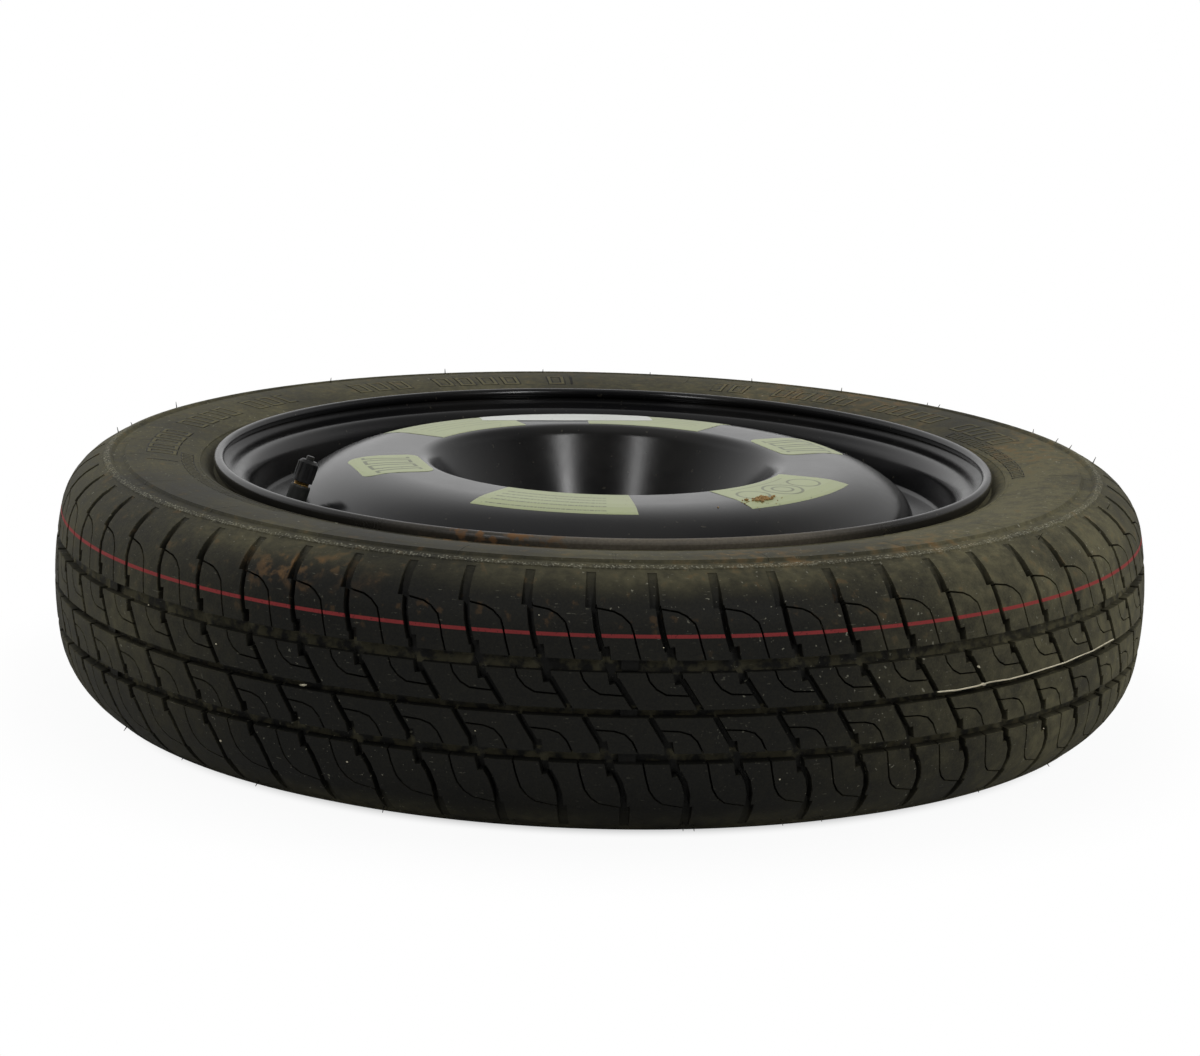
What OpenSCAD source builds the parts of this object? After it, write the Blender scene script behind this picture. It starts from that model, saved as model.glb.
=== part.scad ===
// Slim steel spare wheel with its tyre, lying outer face up.
// The origin is where the wheel's axis meets the hub mounting face, and +Z points out of the outer face.

/* [Tyre] */
// Outside diameter of the tyre at the tread's centre
tyre_d = 581; // [560:1:620]
// Radius of the tread's crown, seen in section
crown_r = 190; // [150:5:260]
// Rise of the upper sidewall over the rim's bead
upper_bulge = 13; // [11:0.5:16]
// Radius of the upper shoulder
upper_shoulder_r = 34; // [30:1:38]
// Drop of the lower sidewall under the rim's bead, before it is pressed flat
lower_bulge = 17.7; // [15:0.1:20]
// Radius of the lower shoulder, where the slack tyre bulges
lower_shoulder_r = 46; // [40:1:49]
// Depth that the bulge is pressed flat where the tyre lies on the ground
rest_flat = 0.5; // [0.2:0.1:1]
// Thickness of the rubber under the tread's crown
crown_t = 11.5; // [9:0.5:14]
// Thickness of the sidewalls
side_t = 7.5; // [5:0.5:9]
// Depth of the tread grooves
groove_depth = 4.5; // [2:0.5:6]
// Width of the two outer grooves round the tread
outer_groove_w = 5.6; // [4:0.2:7]
// Width of the middle groove round the tread
middle_groove_w = 4; // [3:0.2:6]
// Distance from the middle groove to each outer groove
groove_pitch = 22; // [18:0.5:26]
// Number of tread pitches round the tyre
pitch_n = 60; // [40:1:72]
// Width of the slots that cut the shoulders
slot_w = 4.5; // [2:0.5:6]
// Length of the shoulder slots across the tread
slot_l = 17; // [12:1:20]
// Depth of the shoulder slots
slot_depth = 3.6; // [2:0.2:5]
// Width of the narrow grooves that cross the ribs
cross_groove_w = 3; // [1:0.5:4]
// Slant of the cross grooves in the two outer ribs
outer_slant = 12; // [0:1:20]
// Slant of the cross grooves in the two middle ribs
middle_slant = 30; // [0:1:40]
// Reach of the bead's toe inside the bead seat, before the rim's shape is taken from it
bead_toe = 6; // [4:1:7]

/* [Rim] */
// Diameter of the bead seats
seat_d = 380.2; // [378:0.2:382]
// Width between the flanges
rim_w = 101.6; // [96:0.2:108]
// Height of the flanges over the bead seats
flange_h = 17.3; // [15:0.1:19]
// Radius of the flanges' outward curl
flange_curl_r = 9.5; // [8:0.5:11]
// Radius of the rolled lip on each flange
lip_r = 2.7; // [2.4:0.1:3]
// Depth of the rim's well under the bead seats
well_depth = 19.9; // [18:0.1:21]
// Thickness of the rim's sheet
rim_t = 2.6; // [2:0.1:3]
// Radius of the bend between flange and bead seat
bead_bend_r = 6.5; // [5:0.5:8]
// Taper of the bead seats
seat_taper = 5; // [4:0.5:6]
// Width of each bead seat
seat_w = 19.8; // [18:0.2:22]
// Slope of the well's upper wall, where the valve sits
ledge_a = 19.5; // [14:0.5:22]
// Height of the well's lower bend, under the middle of the rim
well_low = 14; // [8:1:18]

/* [Disc] */
// Height of the hub mounting face over the rim's middle
wheel_offset = 15; // [10:1:18]
// Thickness of the disc's sheet
disc_t = 3; // [2.5:0.1:3.5]
// Diameter of the centre bore
bore_d = 65.1; // [54:0.1:72]
// Height of the crown over the rim's middle
crown_z = 62; // [56:1:66]
// Pitch circle of the wheel bolts
bolt_pcd = 108; // [98:1:114]
// Distance from the bolt circle to the bowl's wall
bolt_to_wall = 18.5; // [18:0.5:24]
// Widening of the bowl from the hub face to its mouth
bowl_widening = 20.5; // [12:0.5:24]
// Radius of the bend between hub face and bowl wall
bowl_bend_r = 9; // [6:1:10]
// Radius of the bend at the bowl's mouth
mouth_bend_r = 10; // [6:1:14]
// Radial length of the slope between crown and skirt
slope_l = 26; // [22:0.5:30]
// Drop of the slope from the crown to where it would meet the skirt
slope_drop = 20.4; // [16:0.2:24]
// Radius of the bend between crown and slope
slope_bend_r = 62; // [40:1:70]
// Radius of the bend between slope and skirt
skirt_bend_r = 23.5; // [18:0.5:28]
// Depth of the skirt's edge under the rim's middle
skirt_low = 6; // [4:1:8]
// Number of wheel bolts
bolt_n = 4; // [3:1:5]
// Direction of the first wheel bolt
bolt_a = 26; // [0:1:90]
// Diameter of the bolt holes
bolt_hole_d = 13.5; // [12:0.5:15]
// Leg of the weld runs between skirt and rim
weld_leg = 4; // [3:0.5:5]
// Number of weld runs
weld_n = 4; // [3:1:6]
// Angle that each weld run covers
weld_a = 22; // [15:1:40]
// Direction in which the first weld run starts
weld_start_a = 20; // [0:1:90]

/* [Valve] */
// Direction of the valve round the wheel
valve_a = 202; // [0:1:359]
// Radius of the rubber's foot on the rim
foot_r = 6.6; // [6.4:0.1:7]
// Distance between the rubber's foot and the bend of the bead seat
foot_gap = 2.2; // [2:0.1:3]
// Overhang of the rubber's bulb behind the valve hole
bulb_grip = 1.8; // [1:0.1:2]
// Diameter of the rim's valve hole
valve_hole_d = 11.5; // [11.3:0.1:11.7]
// Length of the stem above the rim
stem_l = 38.5; // [36:0.5:41]
// Length of the rubber above the rim
rubber_l = 27; // [24:0.5:28]
// Outside diameter of the stem's thread
thread_d = 7.7; // [7.6:0.1:7.8]
// Wall of the dust cap
cap_wall = 1.4; // [0.9:0.1:1.4]
// Length of the dust cap without its tip
cap_l = 11.6; // [9.8:0.1:12]
// Thickness of the dust cap's end
cap_end_t = 1.2; // [1:0.1:2]
// Length of the dust cap's tip
tip_l = 2.2; // [1:0.1:3]
// Thickness of the washer in the dust cap
cap_seal_t = 0.8; // [0.6:0.1:1]
// Radial clearance between the cap and the stem's thread
cap_gap = 0.05; // [0.02:0.01:0.1]
// Radial clearance between the core pin and its guide
pin_gap = 0.05; // [0.02:0.01:0.1]

/* [Labels] */
// Thickness of the paper labels
label_t = 0.15; // [0.1:0.01:0.2]
// Distance from the bowl's mouth to the labels
label_gap = 5; // [4:1:12]
// Radial length of the labels
label_l = 38; // [30:1:40]
// Angle that each of the four wide labels covers
label_a = 37; // [30:1:40]
// Directions of the four wide labels
label_front_a = 259.3; // [0:0.1:360]
label_right_a = 322.5; // [0:0.1:360]
label_back_right_a = 76.5; // [0:0.1:360]
label_back_left_a = 135; // [0:0.1:360]
// Directions of the two small labels
label_speed_left_a = 197; // [0:0.1:360]
label_speed_right_a = 25; // [0:0.1:360]
// Width across of the two small labels
small_label_w = 45; // [40:1:48]
// Corner radius of the small labels
label_corner_r = 6; // [4:0.5:8]
// Length of the white strip
strip_l = 97; // [80:1:100]
// Width of the white strip
strip_w = 25; // [20:1:26]
// Direction of the white strip
strip_a = 98.5; // [0:0.1:360]
// Distance of the strip's middle outside the labels' middle circle
strip_out = 1.5; // [0:0.5:8]
// Shift of the strip along its length
strip_shift = 5; // [-10:1:10]

/* [Hidden] */
$fn = 96;

tyre_r = tyre_d/2;
seat_r = seat_d/2;
flange_r = seat_r + flange_h;
half_w = rim_w/2;
well_r = seat_r - well_depth;
seat_end_r = seat_r - tan(seat_taper)*seat_w;
seat_end_z = half_w - seat_w;
ledge_z = seat_end_z - tan(ledge_a)*(seat_end_r - well_r);
flange_top = half_w + flange_curl_r + 0.5;
skirt_r = well_r - rim_t;
bowl_r = bolt_pcd/2 + bolt_to_wall;
bowl_top_r = bowl_r + bowl_widening;
crown_out_r = skirt_r - slope_l;
label_in_r = bowl_top_r + label_gap;

// The crown's bend and the labels keep to the room between the bowl's mouth and the skirt.
slope_turn = atan2(slope_drop, slope_l);
crown_room = crown_out_r - bowl_top_r - mouth_bend_r;
slope_room = norm([slope_l, slope_drop]) - skirt_bend_r*tan(45 - slope_turn/2) - 0.1;
fitted_bend_r = min(slope_bend_r, crown_room/tan(slope_turn/2), slope_room/tan(slope_turn/2));
label_out_r = min(label_in_r + label_l, skirt_r - slope_l/2);
label_h = label_out_r - label_in_r;

// The valve stands square on the ledge, with its foot clear of the bead seat's bend.
valve_r = seat_end_r - rim_t - (foot_r + foot_gap)*cos(ledge_a);
valve_z = seat_end_z - tan(ledge_a)*(seat_end_r - valve_r) + rim_t/cos(ledge_a);

// ---- outlines ----

// The outline's path turned left, as seen along it.
function left(v) = [-v[1], v[0]];
function turned(v, a) = [v[0]*cos(a) - v[1]*sin(a), v[0]*sin(a) + v[1]*cos(a)];
function unit(v) = v/norm(v);

// Points along an arc about a centre.
function arc(centre, r, a0, a1, n) =
    [for (i = [0:n]) let (a = a0 + (a1 - a0)*i/n) centre + r*[cos(a), sin(a)]];

// A rounded corner at p between a and b, set off to the left by side.
function corner(a, p, b, r, side, n) =
    let (u = unit(p - a), v = unit(b - p), t = atan2(cross(u, v), u*v), s = sign(t),
         c = p - u*r*tan(abs(t)/2) + s*r*left(u))
    [for (i = [0:n]) c + (side - s*r)*left(turned(u, t*i/n))];

// A path through the points p with corner radii r, set off to the left by side.
function path(p, r, side = 0, n = 6) =
    let (last = len(p) - 1)
    concat([p[0] + side*left(unit(p[1] - p[0]))],
           [for (i = [1:last - 1]) each corner(p[i - 1], p[i], p[i + 1], r[i], side, n)],
           [p[last] + side*left(unit(p[last] - p[last - 1]))]);

function flipped(list) = [for (i = [len(list) - 1:-1:0]) list[i]];

// Bent sheet of thickness t, whose left side is the path.
module sheet(p, r, t, side = 0) {
    polygon(concat(path(p, r, side), flipped(path(p, r, side - t))));
}

// The rim's tyre side, from the upper lip down to the lower lip.
rim_p = [[flange_r, flange_top],
         [flange_r, half_w],
         [seat_r, half_w],
         [seat_end_r, seat_end_z],
         [well_r, ledge_z],
         [well_r, -well_low],
         [seat_end_r, -seat_end_z],
         [seat_r, -half_w],
         [flange_r, -half_w],
         [flange_r, -flange_top]];
rim_r = [0, flange_curl_r, bead_bend_r, 6, 3, 8, 8, bead_bend_r, flange_curl_r, 0];

// The disc's outer side, from the bore to the skirt's lower edge.
disc_p = [[bore_d/2, wheel_offset + disc_t],
          [bowl_r, wheel_offset + disc_t],
          [bowl_top_r, crown_z],
          [crown_out_r, crown_z],
          [skirt_r, crown_z - slope_drop],
          [skirt_r, -skirt_low]];
disc_r = [0, bowl_bend_r, mouth_bend_r, fitted_bend_r, skirt_bend_r, 0];

// Everything inside the rim's tyre side, which the beads are cut back to.
module rim_envelope() {
    polygon(concat([[0, flange_top]], path(rim_p, rim_r), [[0, -flange_top]]));
}

// ---- tyre ----

crown_c = [tyre_r - crown_r, 0];
upper_crown_a = asin((half_w + upper_bulge - upper_shoulder_r)/(crown_r - upper_shoulder_r));
lower_crown_a = asin((half_w + lower_bulge - lower_shoulder_r)/(crown_r - lower_shoulder_r));
upper_t = crown_c + crown_r*[cos(upper_crown_a), sin(upper_crown_a)];
upper_c = upper_t - upper_shoulder_r*[cos(upper_crown_a), sin(upper_crown_a)];
lower_t = crown_c + crown_r*[cos(lower_crown_a), -sin(lower_crown_a)];
lower_c = lower_t - lower_shoulder_r*[cos(lower_crown_a), -sin(lower_crown_a)];
floor_z = rest_flat - half_w - lower_bulge;

// The upper sidewall is an arc that leaves the shoulder smoothly and ends beside the flange.
side_a = 88;
side_start = upper_c + upper_shoulder_r*[cos(side_a), sin(side_a)];
side_end = [flange_r + 6.5, half_w + 5.7];
side_chord = side_end - side_start;
side_turn = atan2(side_chord[1], side_chord[0]) + 360 - (side_a + 90);
side_r = norm(side_chord)/2/sin(side_turn);
side_c = upper_c + (upper_shoulder_r - side_r)*[cos(side_a), sin(side_a)];

// The tyre's outside, from the lower flange round the tread to the upper flange.
module tyre_outline() {
    bead_r = seat_r - bead_toe;
    polygon(concat([[bead_r, -seat_end_z], [bead_r, -half_w], [flange_r, -half_w - 3]],
                   arc(lower_c, lower_shoulder_r, -125, -lower_crown_a, 16),
                   arc(crown_c, crown_r, -lower_crown_a, upper_crown_a, 12),
                   arc(upper_c, upper_shoulder_r, upper_crown_a, side_a, 12),
                   arc(side_c, side_r, side_a, side_a + 2*side_turn, 6),
                   [[flange_r, half_w + 3], [bead_r, half_w], [bead_r, seat_end_z]]));
}

// The air space: it opens towards the rim between the two beads, and its knees stand clear of the
// flanges and of the foot of the lower shoulder, whichever is farther out.
module tyre_cavity() {
    top = half_w + upper_bulge - side_t;
    low = -half_w - lower_bulge + side_t + 1;
    r = tyre_r - crown_t;
    toe_r = seat_r - bead_toe - 2;
    bead_in_r = flange_r - 3.4;
    knee_out = 24.6;
    foot_in = 10.8;
    knee_r = max(flange_r + knee_out, lower_c[0] - foot_in);
    p = [[toe_r, -seat_end_z], [bead_in_r, -seat_end_z - 8], [knee_r, low], [r, low],
         [r, top], [knee_r, top], [bead_in_r, seat_end_z + 8], [toe_r, seat_end_z]];
    polygon(path(p, [0, 12, 30, 27, 24, 30, 12, 0]));
}

// Groove round the tread at height z, with its floor set in from the crown there.
module ring_groove(z, w) {
    crown = crown_c[0] + sqrt(crown_r*crown_r - z*z);
    translate([crown - groove_depth, z - w/2]) square([groove_depth + 5, w]);
}

module tyre_grooves() {
    ring_groove(0, middle_groove_w);
    for (s = [-1, 1]) ring_groove(s*groove_pitch, outer_groove_w);
}

// A slot across the tread, square to the section at angle a of an arc about c with radius r.
module slot(c, r, a, w, l, depth, slant = 0) {
    translate([c[0], 0, c[1]])
        rotate([0, -a, 0])
            translate([r - depth, 0, 0])
                rotate([slant, 0, 0])
                    translate([0, -w/2, -l/2])
                        cube([depth + 8, w, l]);
}

// One pitch of the tread: wide shoulder slots, and narrow grooves across the four ribs.
module pitch_slots() {
    step = 360/pitch_n;
    per_mm = 180/PI/crown_r;
    rib_a = groove_pitch/2*per_mm;
    outer_rib_a = (groove_pitch + 13)*per_mm;
    rib_l = groove_pitch - 2;
    outer_rib_l = groove_pitch + 3;
    slot(upper_c, upper_shoulder_r, upper_crown_a + 30, slot_w, slot_l, slot_depth);
    slot(crown_c, crown_r, outer_rib_a, cross_groove_w, outer_rib_l, groove_depth, -outer_slant);
    rotate([0, 0, 0.4*step])
        slot(crown_c, crown_r, rib_a, cross_groove_w, rib_l, groove_depth, -middle_slant);
    rotate([0, 0, 0.1*step])
        slot(crown_c, crown_r, -rib_a, cross_groove_w, rib_l, groove_depth, -middle_slant);
    rotate([0, 0, 0.5*step])
        slot(crown_c, crown_r, -outer_rib_a, cross_groove_w, outer_rib_l, groove_depth, -outer_slant);
    rotate([0, 0, 0.55*step])
        slot(lower_c, lower_shoulder_r, -lower_crown_a - 27, slot_w, slot_l, slot_depth);
}

module tyre() {
    color("#2b2c26")
        translate([0, 0, -wheel_offset])
            difference() {
                rotate_extrude($fn = 180)
                    difference() {
                        tyre_outline();
                        tyre_cavity();
                        rim_envelope();
                        tyre_grooves();
                        translate([0, floor_z - 20]) square([tyre_r, 20]);
                    }
                for (i = [0:pitch_n - 1]) rotate([0, 0, i*360/pitch_n]) pitch_slots();
            }
}

// ---- rim and disc ----

// Puts a part of the valve on the rim: its axis stands square on the ledge.
module on_valve() {
    rotate([0, 0, valve_a])
        translate([valve_r, 0, valve_z - wheel_offset])
            rotate([0, -ledge_a, 0])
                children();
}

module rim() {
    color("#1c1c1e")
        difference() {
            translate([0, 0, -wheel_offset]) {
                rotate_extrude($fn = 180) sheet(rim_p, rim_r, rim_t);
                for (s = [-1, 1])
                    translate([0, 0, s*(half_w + flange_curl_r)])
                        rotate_extrude($fn = 180) translate([flange_r - lip_r, 0]) circle(r = lip_r);
            }
            on_valve() translate([0, 0, -15]) cylinder(d = valve_hole_d, h = 25);
        }
}

module disc() {
    hole_r = bolt_hole_d/2;
    color("#2a2a2e")
        rotate([0, 0, bolt_a])
            difference() {
                translate([0, 0, -wheel_offset])
                    rotate_extrude($fn = 180) sheet(disc_p, disc_r, disc_t);
                for (i = [0:bolt_n - 1])
                    rotate([0, 0, i*360/bolt_n])
                        translate([bolt_pcd/2, 0, 0]) {
                            translate([0, 0, -1]) cylinder(r = hole_r, h = disc_t + 2);
                            translate([0, 0, disc_t/2])
                                cylinder(r1 = hole_r, r2 = hole_r + disc_t, h = disc_t);
                        }
            }
}

// Fillet welds under the skirt's edge, which hold it in the rim's well.
module disc_welds() {
    color("#3a3a3c")
        translate([0, 0, -wheel_offset])
            for (i = [0:weld_n - 1])
                rotate([0, 0, i*360/weld_n + weld_start_a])
                    rotate_extrude(angle = weld_a)
                        polygon([[skirt_r, -skirt_low], [skirt_r, -skirt_low - weld_leg],
                                 [skirt_r - disc_t, -skirt_low]]);
}

// ---- valve ----

thread_r = thread_d/2;
hole_r = valve_hole_d/2;
insert_r = thread_r - 1.05;
bore_r = thread_r - 1.25;
port_r = thread_r - 2.15;
body_low = -rim_t - 8.4;

// Moulded rubber body: the bulb under the rim, the neck in its hole and the tall shank.
module valve_body() {
    under = -rim_t;
    bulb_r = hole_r + bulb_grip;
    neck_r = thread_r + 1.75;
    color("#161616")
        on_valve()
            rotate_extrude()
                polygon([[insert_r, body_low], [hole_r - 0.6, body_low], [bulb_r, under - 4],
                         [bulb_r, under - 0.6], [hole_r + 1, under], [hole_r, under], [hole_r, 0],
                         [foot_r, 0], [foot_r, 3],
                         [neck_r, 7.5], [neck_r - 0.3, rubber_l - 1], [neck_r - 0.6, rubber_l],
                         [thread_r, rubber_l], [thread_r, rubber_l - 4], [insert_r, rubber_l - 5]]);
}

// Brass stem: the insert moulded into the rubber and the threaded end that the cap screws on.
module valve_stem() {
    color("#b8923a")
        on_valve()
            rotate_extrude()
                polygon([[port_r, body_low], [insert_r, body_low], [insert_r, rubber_l - 5],
                         [thread_r, rubber_l - 4], [thread_r, stem_l - 0.4], [thread_r - 0.4, stem_l],
                         [bore_r, stem_l], [bore_r, stem_l + cone_top], [port_r, stem_l + cone_low]]);
}

// The core's parts are measured down from the stem's end.
module in_stem() {
    on_valve() translate([0, 0, stem_l]) children();
}

pin_r = 0.5;
guide_r = pin_r + pin_gap;
barrel_r = port_r - 0.2;
barrel_in_r = barrel_r - 0.3;
shoulder_r = bore_r - 0.3;
cup_r = barrel_r - 0.1;
cup_in_r = cup_r - 0.2;
coil_r = 0.85;
wire_r = 0.18;
coil_turns = 8;
cone_low = -9;
cone_top = -7.5;
plug_low = -5.1;
plug_top = -1.1;
coil_high = -6.5;
coil_low = -14.5;
barrel_low = -15.5;
cup_low = -18.1;

// Threaded plug that holds the core down: the pin slides through it.
module core_plug() {
    color("#c8a04a")
        in_stem()
            rotate_extrude()
                polygon([[guide_r, plug_low], [bore_r, plug_low], [bore_r, plug_top - 1], [1.2, plug_top],
                         [guide_r, plug_top]]);
}

// Barrel under the plug, which carries the gasket and houses the spring.
module core_barrel() {
    color("#c8a04a")
        in_stem()
            rotate_extrude()
                polygon([[guide_r, barrel_low], [barrel_r, barrel_low], [barrel_r, plug_low - 1.8],
                         [shoulder_r, plug_low - 1.2], [shoulder_r, plug_low], [barrel_in_r, plug_low],
                         [barrel_in_r, coil_low], [guide_r, coil_low]]);
}

// Soft ring that seals the barrel on the stem's cone.
module core_gasket() {
    color("#e8e8e8")
        in_stem()
            rotate_extrude()
                polygon([[barrel_r, cone_low + 0.2], [port_r + 0.12, cone_low + 0.2],
                         [bore_r - 0.2, cone_top], [shoulder_r, plug_low - 1.5],
                         [barrel_r, plug_low - 1.8]]);
}

// One ring of the coil's wire, square to the helix.
function wire_ring(a, z) =
    [for (k = [0:5]) let (w = k*60, r = coil_r + wire_r*cos(w)) [r*cos(a), r*sin(a), z + wire_r*sin(w)]];

// Spring that lifts the pin and so closes the valve.
module core_spring() {
    steps = coil_turns*12;
    rise = coil_high - coil_low - 2*wire_r;
    points = [for (i = [0:steps]) each wire_ring(i*30, coil_low + wire_r + rise*i/steps)];
    sides = [for (i = [0:steps - 1], k = [0:5])
             let (a = i*6 + k, b = i*6 + (k + 1)%6) [a, a + 6, b + 6, b]];
    ends = [[for (k = [0:5]) k], [for (k = [5:-1:0]) steps*6 + k]];
    color("silver")
        in_stem()
            polyhedron(points, concat(sides, ends));
}

// Pin with the collar that the spring pushes up.
module core_pin() {
    collar_r = barrel_in_r - 0.1;
    color("silver")
        in_stem()
            rotate_extrude()
                polygon([[0, cup_low - 0.2], [pin_r, cup_low - 0.2], [pin_r, coil_high],
                         [collar_r, coil_high], [collar_r, coil_high + 0.4],
                         [pin_r, coil_high + 0.4], [pin_r, -0.7],
                         [pin_r - 0.15, -0.5], [0, -0.5]]);
}

// Cup on the pin's lower end, which carries the rubber seal.
module core_cup() {
    color("#c8a04a")
        in_stem()
            rotate_extrude()
                polygon([[pin_r, cup_low], [cup_r, cup_low], [cup_r, barrel_low - 0.6],
                         [cup_in_r, barrel_low - 0.6], [cup_in_r, cup_low + 0.8], [pin_r, cup_low + 0.8]]);
}

// Rubber seal in the cup, which closes the barrel's lower end.
module core_seal() {
    color("#202020")
        in_stem()
            rotate_extrude()
                polygon([[pin_r, cup_low + 0.8], [cup_in_r, cup_low + 0.8], [cup_in_r, barrel_low],
                         [pin_r, barrel_low]]);
}

cap_top = stem_l + cap_seal_t + cap_end_t;
cap_low = cap_top - cap_l;
cap_r = thread_r + cap_gap + cap_wall;
tip_r = 2.2;
rib_n = 12;

// Ribbed plastic cap with its small tip.
module valve_cap() {
    color("#18181a")
        on_valve()
            difference() {
                union() {
                    rotate_extrude()
                        polygon([[0, cap_low], [cap_r, cap_low], [cap_r - 0.2, cap_top - 1.4],
                                 [cap_r - 1.4, cap_top], [tip_r, cap_top], [tip_r - 0.2, cap_top + tip_l],
                                 [0, cap_top + tip_l]]);
                    for (i = [0:rib_n - 1])
                        rotate([0, 0, i*360/rib_n])
                            translate([cap_r - 0.6, -0.5, cap_low + 2.4])
                                cube([0.8, 1, cap_l - 4]);
                }
                translate([0, 0, cap_low - 1]) cylinder(r = thread_r + cap_gap, h = cap_l - cap_end_t + 1);
            }
}

// Soft washer in the cap's end.
module cap_seal() {
    color("#303030")
        on_valve()
            translate([0, 0, stem_l])
                difference() {
                    cylinder(r = thread_r, h = cap_seal_t);
                    translate([0, 0, -1]) cylinder(r = 1.5, h = cap_seal_t + 2);
                }
}

// ---- labels ----

// Paper that lies on the disc's outer side, lifted by a number of layers.
module paper(layer = 0) {
    intersection() {
        sheet(disc_p, disc_r, label_t, (layer + 1)*label_t);
        translate([bowl_top_r, crown_z - 30]) square([skirt_r - bowl_top_r, 60]);
    }
}

// A wide label: a sector of the crown.
module wide_label(a) {
    color("#bcc48c")
        translate([0, 0, -wheel_offset])
            rotate([0, 0, a - label_a/2])
                rotate_extrude(angle = label_a)
                    intersection() {
                        paper();
                        translate([label_in_r, 0]) square([label_h, 2*crown_z]);
                    }
}

// A small label with rounded corners.
module small_label(a) {
    x = label_h/2 - label_corner_r;
    y = small_label_w/2 - label_corner_r;
    color("#bcc48c")
        translate([0, 0, -wheel_offset])
            rotate([0, 0, a])
                intersection() {
                    rotate([0, 0, -45]) rotate_extrude(angle = 90) paper();
                    translate([(label_in_r + label_out_r)/2, 0, 0])
                        linear_extrude(height = 2*crown_z) {
                            square([2*x, small_label_w], center = true);
                            square([label_h, 2*y], center = true);
                            for (i = [-1, 1], j = [-1, 1])
                                translate([i*x, j*y]) circle(r = label_corner_r);
                        }
                }
}

// The white strip, stuck over two of the labels.
module label_strip() {
    color("white")
        translate([0, 0, -wheel_offset])
            rotate([0, 0, strip_a])
                intersection() {
                    rotate([0, 0, -45]) rotate_extrude(angle = 90) paper(1);
                    translate([(label_in_r + label_out_r - strip_w)/2 + strip_out,
                               strip_shift - strip_l/2, 0])
                        cube([strip_w, strip_l, 2*crown_z]);
                }
}

module label_front() { wide_label(label_front_a); }
module label_right() { wide_label(label_right_a); }
module label_back_right() { wide_label(label_back_right_a); }
module label_back_left() { wide_label(label_back_left_a); }
module label_speed_left() { small_label(label_speed_left_a); }
module label_speed_right() { small_label(label_speed_right_a); }

tyre();
rim();
disc();
disc_welds();
valve_body();
valve_stem();
core_plug();
core_barrel();
core_gasket();
core_spring();
core_pin();
core_cup();
core_seal();
valve_cap();
cap_seal();
label_front();
label_right();
label_back_right();
label_back_left();
label_speed_left();
label_speed_right();
label_strip();
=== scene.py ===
"""Looks of the slim spare wheel: its tyre, its paint, labels and dirt, and the studio around it.

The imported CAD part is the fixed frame. The tyre, the rim and the disc are built again here as finer
meshes of the same shape, the tyre with its full tread, and every other CAD piece keeps its mesh and
gets its own procedural finish. Sizes are in millimetres, and in metres where a name ends in _m;
directions round the wheel are in degrees. The row frame has its origin at the hub mounting face and
+Z out of the wheel's outer face.
"""

import functools
import logging
import math
import random
from collections.abc import Callable, Iterable, Sequence
from dataclasses import dataclass
from enum import Enum

import bmesh
import bpy
from mathutils import Matrix, Vector


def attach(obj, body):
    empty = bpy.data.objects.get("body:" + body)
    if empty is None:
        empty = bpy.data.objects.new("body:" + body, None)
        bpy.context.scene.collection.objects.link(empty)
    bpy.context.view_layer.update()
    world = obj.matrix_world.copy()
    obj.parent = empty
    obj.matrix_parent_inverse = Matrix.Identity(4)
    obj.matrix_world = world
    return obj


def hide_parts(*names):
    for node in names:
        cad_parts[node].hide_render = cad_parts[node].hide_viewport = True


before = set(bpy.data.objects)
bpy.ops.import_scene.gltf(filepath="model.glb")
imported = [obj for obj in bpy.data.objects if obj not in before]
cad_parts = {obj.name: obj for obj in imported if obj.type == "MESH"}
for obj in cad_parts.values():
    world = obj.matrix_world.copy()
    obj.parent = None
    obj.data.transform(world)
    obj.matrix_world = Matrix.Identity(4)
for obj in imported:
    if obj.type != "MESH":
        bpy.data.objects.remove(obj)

LOG = logging.getLogger("wheel")
MM = 0.001
WHEEL_OFFSET = 15.0
"""Height of the hub mounting face over the rim's middle, round which the sections are drawn."""
SNAP = 0.002
"""How close to a cutting plane a corner is taken to lie on it."""
LEVEL = 0.01
"""How far a face's corners may be off its height."""
KEPT_IN = 0.45
"""How far inside the box round the tyre the middle of what sticks to the tread is kept."""

Point = tuple[float, float]
Colour = tuple[float, float, float]
Mesh = bmesh.types.BMesh
Material = bpy.types.Material
Piece = bpy.types.Object


# ---- shader maths ----


def maths_method(operation: str, swapped: bool = False) -> Callable[["Socket", "Term"], "Socket"]:
    """Makes a method that joins a socket and another term by one maths node.

    Args:
        operation: the node's operation.
        swapped: whether the other term comes first.

    Returns:
        The method.
    """

    def join(self: "Socket", other: "Term") -> "Socket":
        """Adds the maths node."""
        return self.graph.math(operation, *((other, self) if swapped else (self, other)))

    return join


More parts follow.
